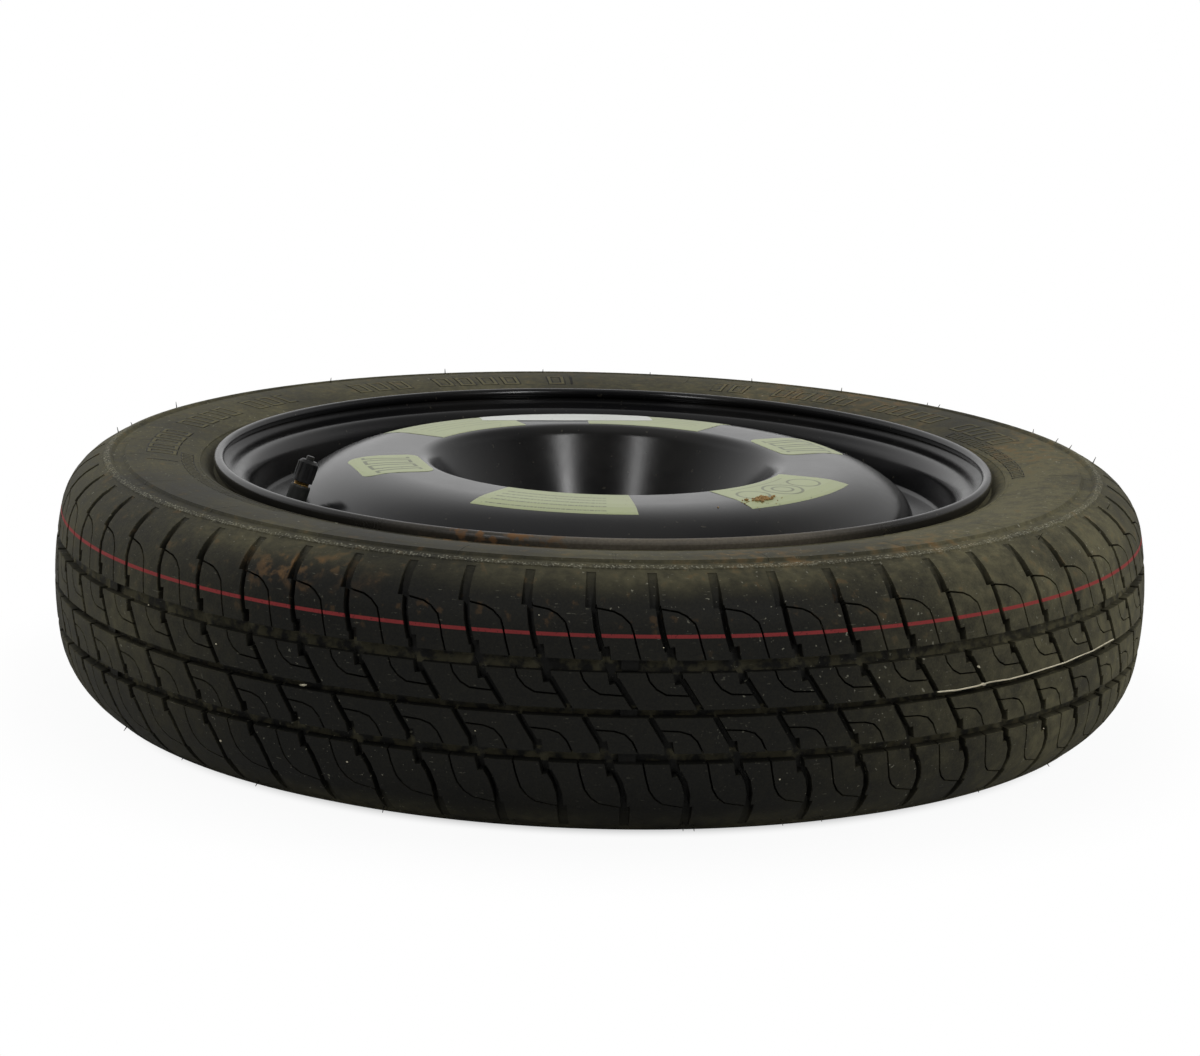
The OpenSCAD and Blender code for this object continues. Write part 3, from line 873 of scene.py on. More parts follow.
def rod(bm: Mesh, middle: Vector, way: Vector, length: float, foot_r: float, tip_r: float) -> None:
    """Adds a thin six-sided rod.

    Args:
        bm: the mesh to add it to.
        middle: its middle.
        way: the way from its foot to its tip.
        length: its length.
        foot_r: its radius at the foot.
        tip_r: its radius at the tip.
    """
    matrix = Matrix.Translation(middle) @ way.to_track_quat("Z", "Y").to_matrix().to_4x4()
    bmesh.ops.create_cone(bm, cap_ends=True, segments=6, radius1=foot_r, radius2=tip_r, depth=length,
                          matrix=matrix)


def lump(bm: Mesh, place: Vector, shape: Matrix, chance: random.Random, dents: Point) -> None:
    """Adds one uneven lump.

    Args:
        bm: the mesh to add it to.
        place: its middle.
        shape: its turn and its three half sizes.
        chance: the source of its unevenness.
        dents: the least and the most that its corners move out, as a share of its size.
    """
    matrix = Matrix.Translation(place) @ shape
    for v in bmesh.ops.create_icosphere(bm, subdivisions=1, radius=1.0, matrix=matrix)["verts"]:
        v.co += (v.co - place) * chance.uniform(*dents)


# ---- the tyre ----


@dataclass(frozen=True)
class TyreSection:
    """The tyre's section, drawn round the rim's middle as (radius, height)."""

    radius: float = 290.5
    crown_r: float = 190.0
    upper_shoulder_r: float = 34.0
    lower_shoulder_r: float = 46.0
    upper_end: float = 88.0
    lower_end: float = 125.0
    half_rim: float = 50.8
    upper_bulge: float = 13.0
    lower_bulge: float = 17.7
    rest_flat: float = 0.5
    flange_r: float = 207.4
    flange_lap: float = 3.0
    side_end: Point = (212.4, 58.3)
    side_slope: float = 178.0
    bead: tuple[Point, ...] = ((195.8, 50.65), (192.6, 49.4), (190.4, 45.8), (188.7, 31.2))
    bead_bend: Point = (197.9, 60.3)
    bead_bend_r: float = 9.65
    wall: float = 7.5
    floor_wall: float = 8.5
    tread_wall: float = 11.5
    space_foot: Point = (204.0, 39.0)
    space_r: float = 232.0
    space_bends: tuple[float, ...] = (0.0, 12.0, 30.0, 24.0, 27.0, 30.0, 12.0, 0.0)
    crown_steps: int = 24
    side_steps: int = 24
    upper_steps: int = 40
    lower_steps: int = 64

    @property
    def top(self) -> float:
        """The height of the upper sidewall's highest place."""
        return self.half_rim + self.upper_bulge

    @property
    def floor(self) -> float:
        """The height of the floor that the lower sidewall is pressed flat on."""
        return self.rest_flat - self.half_rim - self.lower_bulge

    def shoulder(self, side: float, bulge: float, radius: float, end: float,
                 steps: int) -> tuple[list[Point], Point]:
        """The outline from the middle of the tread round one shoulder.

        Args:
            side: 1 for the upper shoulder and -1 for the lower one.
            bulge: how far the sidewall bulges past the rim.
            radius: the shoulder's radius.
            end: the angle at which the shoulder ends.
            steps: how many pieces the shoulder has.

        Returns:
            The outline and the shoulder's centre.
        """
        crown = (self.radius - self.crown_r, 0.0)
        spare = self.crown_r - radius
        turn = math.asin((self.half_rim + bulge - radius) / spare)
        centre = (crown[0] + spare * math.cos(turn), side * spare * math.sin(turn))
        start = side * math.degrees(turn)
        bend = arc(centre, radius, start, side * end, steps)
        return arc(crown, self.crown_r, 0.0, start, self.crown_steps) + bend[1:], centre

    def upper_side(self) -> list[Point]:
        """The outline from the middle of the tread over the upper sidewall to the flange.

        Returns:
            The outline's points.
        """
        shoulder_r, end = self.upper_shoulder_r, self.upper_end
        out, shoulder = self.shoulder(1.0, self.upper_bulge, shoulder_r, end, self.upper_steps)
        chord = Vector(self.side_end) - Vector(out[-1])
        bend = math.degrees(math.atan2(chord.y, chord.x)) + 360.0 - self.side_slope
        side_r = chord.length / 2 / math.sin(math.radians(bend))
        gap, turn = shoulder_r - side_r, math.radians(end)
        side = (shoulder[0] + gap * math.cos(turn), shoulder[1] + gap * math.sin(turn))
        out += arc(side, side_r, end, end + 2 * bend, self.side_steps)[1:]
        return [*out, (self.flange_r, self.half_rim + self.flange_lap)]

    def lower_side(self) -> list[Point]:
        """The outline from the middle of the tread over the slack lower sidewall to the flange."""
        sizes = self.lower_bulge, self.lower_shoulder_r, self.lower_end, self.lower_steps
        out, _ = self.shoulder(-1.0, *sizes)
        return [*out, (self.flange_r, -self.half_rim - self.flange_lap)]

    def inside(self) -> list[Point]:
        """The outline from the upper flange round the beads and the air space to the lower flange.

        Returns:
            The outline's points.
        """
        bead = [*arc(self.bead_bend, self.bead_bend_r, -44.0, -90.0, 4), *self.bead]
        low = self.floor_wall - self.half_rim - self.lower_bulge
        top = self.top - self.wall
        r = self.radius - self.tread_wall
        (foot_r, foot), (toe_r, toe), knee_r = self.space_foot, bead[-1], self.space_r
        space = [(foot_r, foot), (knee_r, top), (r, top), (r, low), (knee_r, low), (foot_r, -foot)]
        cavity = rounded([bead[-1], *space, (toe_r, -toe)], self.space_bends)
        mirrored = [(x, -y) for x, y in reversed(bead)]
        return [*bead[:-1], *cavity, *mirrored[1:]]


class Outline:
    """The tyre's whole outline by its distance across, from the lower flange round to the same place."""

    def __init__(self, section: TyreSection) -> None:
        """Args: section: the tyre's section."""
        upper, lower, inside = section.upper_side(), section.lower_side(), section.inside()
        table = [(0.0, *upper[0])]
        for path, sign in ((lower[1:], -1.0), (upper[1:] + inside + lower[-1:], 1.0)):
            s, last = 0.0, upper[0]
            for p in path:
                s += sign * math.dist(last, p)
                last = p
                table.append((s, *p))
        self.table = sorted(table)
        self.first, self.last = self.table[0][0], self.table[-1][0]
        self.flange = next(s for s, r, _ in self.table if s > 0 and r <= section.flange_r)
        self.most = section.radius - KEPT_IN

    def spot(self, s: float) -> tuple[Vector, Vector]:
        """The outline's point and its outward normal, as (radius, height).

        Args:
            s: the distance across the section.

        Returns:
            The point and the normal.
        """
        low, high = 0, len(self.table) - 1
        while high - low > 1:
            middle = (low + high) // 2
            low, high = (middle, high) if self.table[middle][0] <= s else (low, middle)
        a, b = self.table[low], self.table[high]
        share = (s - a[0]) / max(b[0] - a[0], 1e-9)
        point = Vector((a[1] + (b[1] - a[1]) * share, a[2] + (b[2] - a[2]) * share))
        before, after = self.table[max(low - 1, 0)], self.table[min(high + 1, len(self.table) - 1)]
        along_a = Vector((b[1] - before[1], b[2] - before[2])).normalized()
        along_b = Vector((after[1] - a[1], after[2] - a[2])).normalized()
        along = (along_a * (1 - share) + along_b * share).normalized()
        return point, Vector((along.y, -along.x))

    def on_tread(self, direction: float, s: float, out: float) -> Vector:
        """A point on the tread, kept inside the box round the tyre.

        Args:
            direction: the direction round the wheel.
            s: the distance across the section.
            out: how far it stands off the surface.

        Returns:
            The point in the row frame.
        """
        point, normal = self.spot(s)
        place = point + normal * out
        spot = on_wheel(place.x, direction, place.y - WHEEL_OFFSET)
        x, y = (min(max(value, -self.most), self.most) for value in spot.xy)
        return Vector((x, y, spot.z))


@dataclass(frozen=True)
class Ridge:
    """A ring moulded on the sidewall."""

    across: float
    half: float
    height: float
    soft: float = 0.5

    def lift(self, s: float) -> float:
        """How far it lifts the surface at a distance across the section."""
        share = (self.half + self.soft - abs(s - self.across)) / self.soft
        return self.height * min(max(share, 0.0), 1.0)

    def rows(self) -> list[float]:
        """Where rows of corners are needed."""
        return [self.across + e * (self.half + f) for e in (-1, 1) for f in (0.0, self.soft)]


@dataclass(frozen=True)
class Cut:
    """A groove or a sipe of one pitch: a path across the tread, as (along, across), and its width."""

    path: tuple[Point, ...]
    width: float

    def quads(self) -> list[list[Point]]:
        """The four-sided pieces that the path is made of.

        Returns:
            The pieces' corners, listed anticlockwise.
        """
        points = [Vector(p) for p in self.path]
        steps = [(b - a).normalized() for a, b in zip(points, points[1:])]
        sides = []
        for i, p in enumerate(points):
            u = steps[max(i - 1, 0)]
            v = steps[min(i, len(steps) - 1)]
            bisector = (u + v).normalized()
            normal = Vector((-bisector.y, bisector.x))
            reach = self.width / 2 / max(normal.dot(Vector((-u.y, u.x))), 0.5)
            sides.append((p + normal * reach, p - normal * reach))
        out = []
        for (left_a, right_a), (left_b, right_b) in zip(sides, sides[1:]):
            out.append([tuple(right_a), tuple(right_b), tuple(left_b), tuple(left_a)])
        return out


@dataclass
class Tyre:
    """The slack tyre, made as one pitch of the tread pattern that is repeated round the wheel.

    A row of vent hairs is a distance across and the directions at which it has hairs.
    """

    finish: RubberFinish = RubberFinish()
    section: TyreSection = TyreSection()
    pitches: int = 60
    columns: int = 3
    start: float = -90.45
    depth: float = 4.5
    draft: float = 0.32
    row: float = 5.4
    row_gap: float = 0.28
    weld: float = 0.012
    fade_start: float = 50.0
    fade_ends: Point = (69.5, 68.5)
    fade_most: float = 0.93
    ridges: tuple[Ridge, ...] = (
        Ridge(73.4, 1.5, 0.5),
        Ridge(79.6, 2.6, -1.5, 1.2),
        Ridge(90.6, 0.4, 0.45, 0.4),
        Ridge(122.4, 0.5, 0.5, 0.4),
        Ridge(-71.0, 1.3, 0.45),
        Ridge(-77.0, 3.2, -0.6),
        Ridge(-112.0, 0.5, 0.45, 0.4),
    )
    rings: tuple[Point, ...] = ((18.6, 24.6), (-2.5, 1.5), (-25.2, -19.8))
    cuts: tuple[Cut, ...] = (
        Cut(((-2.0, 69.0), (-2.0, 61.0), (-1.6, 48.6)), 5.0),
        Cut(((-0.2, 50.0), (1.3, 40.0), (2.8, 34.0), (4.5, 28.6)), 3.0),
        Cut(((5.6, 30.6), (6.6, 24.0)), 4.2),
        Cut(((1.4, 48.4), (9.3, 47.0), (13.3, 45.0), (17.3, 41.3), (18.8, 37.0), (20.3, 31.0),
             (22.4, 24.2)), 0.95),
        Cut(((9.0, 19.2), (10.2, 13.4)), 4.4),
        Cut(((11.2, 15.6), (20.7, 1.0)), 2.9),
        Cut(((25.0, 19.0), (26.5, 15.0), (30.0, 11.0), (34.5, 8.5), (46.2, 7.9)), 0.9),
        Cut(((-3.2, -2.1), (4.9, -15.2)), 2.9),
        Cut(((5.6, -14.2), (6.8, -20.4)), 4.4),
        Cut(((1.8, -8.5), (11.0, -9.0), (16.0, -10.5), (19.5, -14.0), (22.6, -20.2)), 0.9),
        Cut(((8.9, -24.6), (10.4, -31.2)), 4.4),
        Cut(((11.4, -29.4), (14.5, -35.0), (16.4, -42.0), (17.0, -51.0)), 3.0),
        Cut(((17.4, -49.4), (17.9, -61.0), (18.2, -68.0)), 5.0),
        Cut(((-5.6, -24.8), (-4.0, -32.0), (-2.0, -39.0), (1.0, -44.0), (5.0, -47.5), (16.2, -50.2)), 0.95),
    )
    hair_rows: tuple[tuple[float, tuple[float, ...]], ...] = (
        (79.0, (98.5, 84.0, 70.0, 57.0, 112.0, 129.0)),
        (69.0, (45.0, 43.2, 24.8, 19.1, 15.1, 6.2, 155.0, 167.0, 172.0)),
        (-66.0, (-138.7, -126.9, -97.8, -66.2, -45.9, -32.4, -152.0, -81.0)),
    )
    stray_hairs: int = 14
    hair_lengths: Point = (2.2, 4.6)
    hair_radii: Point = (0.40, 0.14)
    hair_sunk: float = 0.6
    bars: int = 6
    bar_start: float = -27.0
    bar_size: Point = (1.8, 8.0)
    bar_rise: float = 0.7
    bar_play: float = 0.8

    def __post_init__(self) -> None:
        """Works out the outline and one pitch's length round the tread."""
        self.outline = Outline(self.section)
        self.pitch = 2 * math.pi * self.section.radius / self.pitches

    def build(self) -> list[Piece]:
        """Makes the tyre with its whole tread, and the wear bars and vent hairs on it.

        Returns:
            The pieces.
        """
        bm = self.pitch_tile()
        self.bend(bm)
        last = 2 * math.pi * (self.pitches - 1) / self.pitches
        bmesh.ops.spin(bm, geom=everything(bm), cent=(0, 0, 0), axis=(0, 0, 1), angle=last,
                       steps=self.pitches - 1, use_duplicate=True)
        bmesh.ops.remove_doubles(bm, verts=bm.verts, dist=self.weld)
        bmesh.ops.recalc_face_normals(bm, faces=bm.faces)
        material = self.finish.material()
        tyre = new_object("tyre_full", bm, material, "wheel", 32.0)
        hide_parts("tyre")
        return [tyre, self.hairs(material), self.wear_bars(material)]

    def pitch_tile(self) -> Mesh:
        """Makes one pitch as a flat sheet, with x along the tyre, y across it and its grooves pressed down.

        The sheet is made wider than the pitch, and cut to it last, so that its two ends match.

        Returns:
            The sheet.
        """
        pitch, first, last = self.pitch, self.outline.first, self.outline.last
        bm = bmesh.new()
        bmesh.ops.create_grid(bm, x_segments=1, y_segments=1, size=0.5)
        wide = pitch * (1 + 2 / self.columns)
        bmesh.ops.scale(bm, vec=(wide, last - first, 1), verts=bm.verts)
        bmesh.ops.translate(bm, vec=(pitch / 2, (first + last) / 2, 0), verts=bm.verts)
        for s in self.rows():
            slice_faces(bm, bm.faces, (0, s), (0, 1))
        for i in range(self.columns + 1):
            slice_faces(bm, bm.faces, (pitch * i / self.columns, 0), (1, 0))
        layer = bm.faces.layers.int.new("cut")
        for low, high in self.rings:
            carve(bm, [(-pitch, low), (2 * pitch, low), (2 * pitch, high), (-pitch, high)], layer)
        for quad in (quad for cut in self.cuts for quad in cut.quads()):
            for turn in range(-2, 3):
                carve(bm, [(x + turn * pitch, y) for x, y in quad], layer)
        marked = [f for f in bm.faces if f[layer]]
        bmesh.ops.inset_region(bm, faces=marked, thickness=self.draft, depth=-self.depth,
                               use_boundary=False, use_even_offset=True)
        for at, way in ((0.0, -1.0), (pitch, 1.0)):
            bmesh.ops.bisect_plane(bm, geom=everything(bm), dist=SNAP, plane_co=(at, 0, 0),
                                   plane_no=(way, 0, 0), clear_outer=True)
        return bm

    def rows(self) -> list[float]:
        """The distances across the section at which the sheet has rows of corners.

        Returns:
            The distances, none of them too close to the one before.
        """
        flange, first = self.outline.flange, self.outline.first
        count = round((flange - first) / self.row)
        out = [first + (flange - first) * i / count for i in range(1, count + 1)]
        out += [s for ridge in self.ridges for s in ridge.rows()]
        out += [s for s, _, _ in self.outline.table if s > flange][:-1]
        kept: list[float] = []
        for s in sorted(out):
            if not kept or s - kept[-1] > self.row_gap:
                kept.append(s)
        return kept

    def fade(self, s: float) -> float:
        """How deep the cuts are at a distance across, as a share of their full depth."""
        end = self.fade_ends[0] if s > 0 else self.fade_ends[1]
        share = min(max((abs(s) - self.fade_start) / (end - self.fade_start), 0.0), 1.0)
        return 1.0 - self.fade_most * share ** 0.8

    def bend(self, bm: Mesh) -> None:
        """Bends the flat sheet to the section and round the wheel, and stores across and groove on it.

        Args:
            bm: the sheet.
        """
        across = bm.verts.layers.float.new("across")
        groove = bm.verts.layers.float.new("groove")
        for v in bm.verts:
            x, s, down = v.co
            v[across] = s
            v[groove] = -down / self.depth
            point, normal = self.outline.spot(s)
            rise = sum(r.lift(s) for r in self.ridges)
            place = point + normal * (rise + down * self.fade(s))
            height = min(max(place.y, self.section.floor), self.section.top)
            turn = self.start + 360.0 / self.pitches * x / self.pitch
            v.co = on_wheel(place.x, turn, height - WHEEL_OFFSET)

    def hairs(self, material: Material) -> Piece:
        """Makes the thin vent hairs that moulding left on the shoulders.

        Args:
            material: the rubber.

        Returns:
            The hairs, as one piece.
        """
        chance = random.Random(11)
        places = [(direction, s) for s, row in self.hair_rows for direction in row]
        places += [(chance.uniform(-180, 180), chance.choice((-1, 1)) * chance.uniform(60, 70))
                   for _ in range(self.stray_hairs)]
        bm = bmesh.new()
        for direction, s in places:
            point, normal = self.outline.spot(s)
            tilt = Vector((normal.x + chance.uniform(-0.3, 0.05), normal.y * chance.uniform(0.5, 0.8)))
            length = chance.uniform(*self.hair_lengths)
            out = on_wheel(tilt.x, direction, tilt.y).normalized()
            foot = on_wheel(point.x, direction, point.y - WHEEL_OFFSET)
            rod(bm, foot + out * (length / 2 - self.hair_sunk), out, length, *self.hair_radii)
        self.mark_plain(bm, 60.0)
        return new_object("vent_hairs", bm, material, "wheel")

    def wear_bars(self, material: Material) -> Piece:
        """Makes the low bars in the grooves round the tread.

        Args:
            material: the rubber.

        Returns:
            The bars, as one piece.
        """
        bm = bmesh.new()
        crown_r = self.section.crown_r
        for low, high in self.rings:
            turn = (low + high) / 2 / crown_r
            radius = self.section.radius - crown_r * (1 - math.cos(turn)) - self.depth + self.bar_rise
            size = Matrix.Diagonal((*self.bar_size, high - low - self.bar_play, 1.0))
            for i in range(self.bars):
                direction = self.bar_start + 360.0 / self.bars * i
                place = on_wheel(radius, direction, crown_r * math.sin(turn) - WHEEL_OFFSET)
                spin = Matrix.Rotation(math.radians(direction), 4, "Z")
                bmesh.ops.create_cube(bm, size=1.0, matrix=Matrix.Translation(place) @ spin @ size)
        self.mark_plain(bm, 20.0)
        return new_object("wear_bars", bm, material, "wheel")

    def mark_plain(self, bm: Mesh, across: float) -> None:
        """Stores one across value and the groove value of a groove's side on a small piece.

        Args:
            bm: the piece's mesh.
            across: the across value.
        """
        for name, value in (("across", across), ("groove", 0.5)):
            layer = bm.verts.layers.float.new(name)
            for v in bm.verts:
                v[layer] = value


# ---- the rim, the disc and what is on them ----


@dataclass(frozen=True)
class Rim:
    """The rolled rim: its tyre side's corners and bends, drawn round the rim's middle."""

    corners: tuple[Point, ...] = (
        (207.4, 60.3), (207.4, 50.8), (190.1, 50.8), (188.37, 31.0), (170.2, 24.57),
        (170.2, -14.0), (188.37, -31.0), (190.1, -50.8), (207.4, -50.8), (207.4, -60.3),
    )
    bends: tuple[float, ...] = (0.0, 9.5, 6.5, 6.0, 3.0, 8.0, 8.0, 6.5, 9.5, 0.0)
    thickness: float = 2.6
    lip: float = 2.7
    lip_gap: float = 0.3
    steps: int = 180

    def build(self) -> list[Piece]:
        """Makes the rim with its rolled lips.

        Returns:
            The rim.
        """
        outer = rounded(self.corners, self.bends, 8)
        top = (self.corners[0][0] - self.lip, self.corners[0][1])
        low = (top[0], -top[1])
        limit = top[1] - self.lip - self.lip_gap
        inner = [p for p in inner_side(outer, self.thickness) if abs(p[1]) < limit]
        section = [*outer, *arc(low, self.lip, 0.0, -270.0, 14)[1:], *reversed(inner),
                   *arc(top, self.lip, 270.0, 0.0, 14)[:-1]]
        material = PaintFinish("rim_enamel", flange_soil=True).material()
        rim = new_object("rim_full", spun(section, self.steps), material, "wheel", 50.0)
        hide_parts("rim")
        return [rim]


@dataclass(frozen=True)
class Disc:
    """The pressed disc with its bolt holes and welds; its outer side is drawn round the rim's middle."""

    corners: tuple[Point, ...] = (
        (32.55, 18.0), (72.5, 18.0), (93.0, 62.0), (141.6, 62.0), (167.6, 41.6), (167.6, -6.0),
    )
    bends: tuple[float, ...] = (0.0, 9.0, 10.0, 62.0, 23.5, 0.0)
    thickness: float = 3.0
    bolt_circle: float = 54.0
    bolts: int = 4
    bolt_at: float = 26.0
    hole: float = 6.75
    hole_sides: int = 32
    steps: int = 180

    def finishes(self) -> dict[str, Material]:
        """The finish of the welds' CAD node."""
        return {"disc_welds": PaintFinish("weld_enamel", gloss=0.36, dusty=0.2).material()}

    def build(self) -> list[Piece]:
        """Makes the disc with its countersunk bolt holes.

        Returns:
            The disc.
        """
        outer = rounded(self.corners, self.bends, 10)
        bm = spun([*outer, *reversed(inner_side(outer, self.thickness))], self.steps)
        for i in range(self.bolts):
            self.bolt_hole(bm, on_wheel(self.bolt_circle, self.bolt_at + 360.0 / self.bolts * i, 0.0))
        bmesh.ops.recalc_face_normals(bm, faces=bm.faces)
        material = PaintFinish("disc_enamel", dusty=0.12).material()
        disc = new_object("disc_full", bm, material, "wheel")
        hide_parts("disc")
        return [disc]

    def bolt_hole(self, bm: Mesh, place: Vector) -> None:
        """Cuts one bolt hole: straight below, and widening by half the sheet's thickness above.

        Args:
            bm: the disc.
            place: the hole's middle on the hub face.
        """
        low = self.opening(bm, place, self.hole, 0.0)
        high = self.opening(bm, place, self.hole + self.thickness / 2, self.thickness)
        matrix = Matrix.Translation(place + Vector((0, 0, self.thickness / 2)))
        ring = bmesh.ops.create_circle(bm, segments=self.hole_sides, radius=self.hole, matrix=matrix)["verts"]
        middle = list({e for v in ring for e in v.link_edges})
        bmesh.ops.bridge_loops(bm, edges=low + middle)
        bmesh.ops.bridge_loops(bm, edges=middle + high)

    def opening(self, bm: Mesh, place: Vector, radius: float, height: float) -> list[bmesh.types.BMEdge]:
        """Removes a round area from a level face of the disc.

        Args:
            bm: the disc.
            place: the area's middle.
            radius: its radius.
            height: the face's height.

        Returns:
            The edges round the area.
        """
        layer = bm.faces.layers.int.get("hole") or bm.faces.layers.int.new("hole")
        turn = arc((0.0, 0.0), radius, 0.0, 360.0, self.hole_sides)[:-1]
        carve(bm, [(place.x + x, place.y + y) for x, y in turn], layer, height)
        inside = [f for f in bm.faces if f[layer]]
        edges = {e for f in inside for e in f.edges}
        border = [e for e in edges if sum(1 for f in e.link_faces if f[layer]) == 1]
        bmesh.ops.delete(bm, geom=inside, context="FACES")
        return [e for e in border if e.is_valid]


@dataclass(frozen=True)
class Valve:
    """The valve: where it stands, how far it leans to the wheel's axis, and its finishes."""

    direction: float = 202.0
    foot_r: float = 177.473
    foot_z: float = 14.9
    lean: float = 19.5

    def finishes(self) -> dict[str, Material]:
        """Makes one finish for each of the valve's CAD nodes.

        Returns:
            The finishes by the nodes' names.
        """
        lean = math.radians(self.lean)
        axis = on_wheel(-math.sin(lean), self.direction, math.cos(lean))
        start_m = on_wheel(self.foot_r, self.direction, self.foot_z).dot(axis) * MM
        rubber = PlainFinish("valve_rubber_skin", (0.0105, 0.0115, 0.0100), 0.52, 0.0, 0.05, 0.30).material()
        thread = ThreadFinish("valve_brass_thread", axis, start_m).material()
        brass = PlainFinish("core_brass", (0.62, 0.40, 0.14), 0.30, 1.0).material()
        steel = PlainFinish("core_steel", (0.42, 0.41, 0.39), 0.32, 1.0).material()
        white = PlainFinish("gasket_white", (0.72, 0.72, 0.70), 0.5).material()
        plastic = PlainFinish("cap_black", (0.0095, 0.0095, 0.0098), 0.40, 0.0, 0.04, 0.25).material()
        return {
            "valve_body": rubber, "core_seal": rubber, "cap_seal": rubber, "valve_stem": thread,
            "core_plug": brass, "core_barrel": brass, "core_cup": brass, "core_gasket": white,
            "core_spring": steel, "core_pin": steel, "valve_cap": plastic,
        }


@dataclass(frozen=True)
class Labels:
    """The yellow-green labels and the white strip stuck on the disc."""

    wide: tuple[tuple[str, float, Print], ...] = (
        ("label_front", 259.3, Print.LINES),
        ("label_right", 322.5, Print.RINGS),
        ("label_back_right", 76.5, Print.FAINT),
        ("label_back_left", 135.0, Print.FAINT),
        ("label_speed_left", 197.0, Print.BARS),
        ("label_speed_right", 25.0, Print.BARS),
    )
    strip_at: float = 98.5
    strip_field: Colour = (0.62, 0.64, 0.60)

    def finishes(self) -> dict[str, Material]:
        """Makes one finish for each label.

        Returns:
            The finishes by the labels' names.
        """
        out = {name: PaperFinish(f"{name}_film", at, shapes).material() for name, at, shapes in self.wide}
        strip = PaperFinish("label_strip_film", self.strip_at, Print.NONE, field=self.strip_field)
        return {**out, "label_strip": strip.material()}


def dress(finishes: dict[str, Material]) -> None:
    """Puts each finish on its CAD node.

    Args:
        finishes: the finishes by the nodes' names.
    """
    for name, material in finishes.items():
        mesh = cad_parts[name].data
        mesh.materials.clear()
        mesh.materials.append(material)


# ---- what lies on the wheel ----


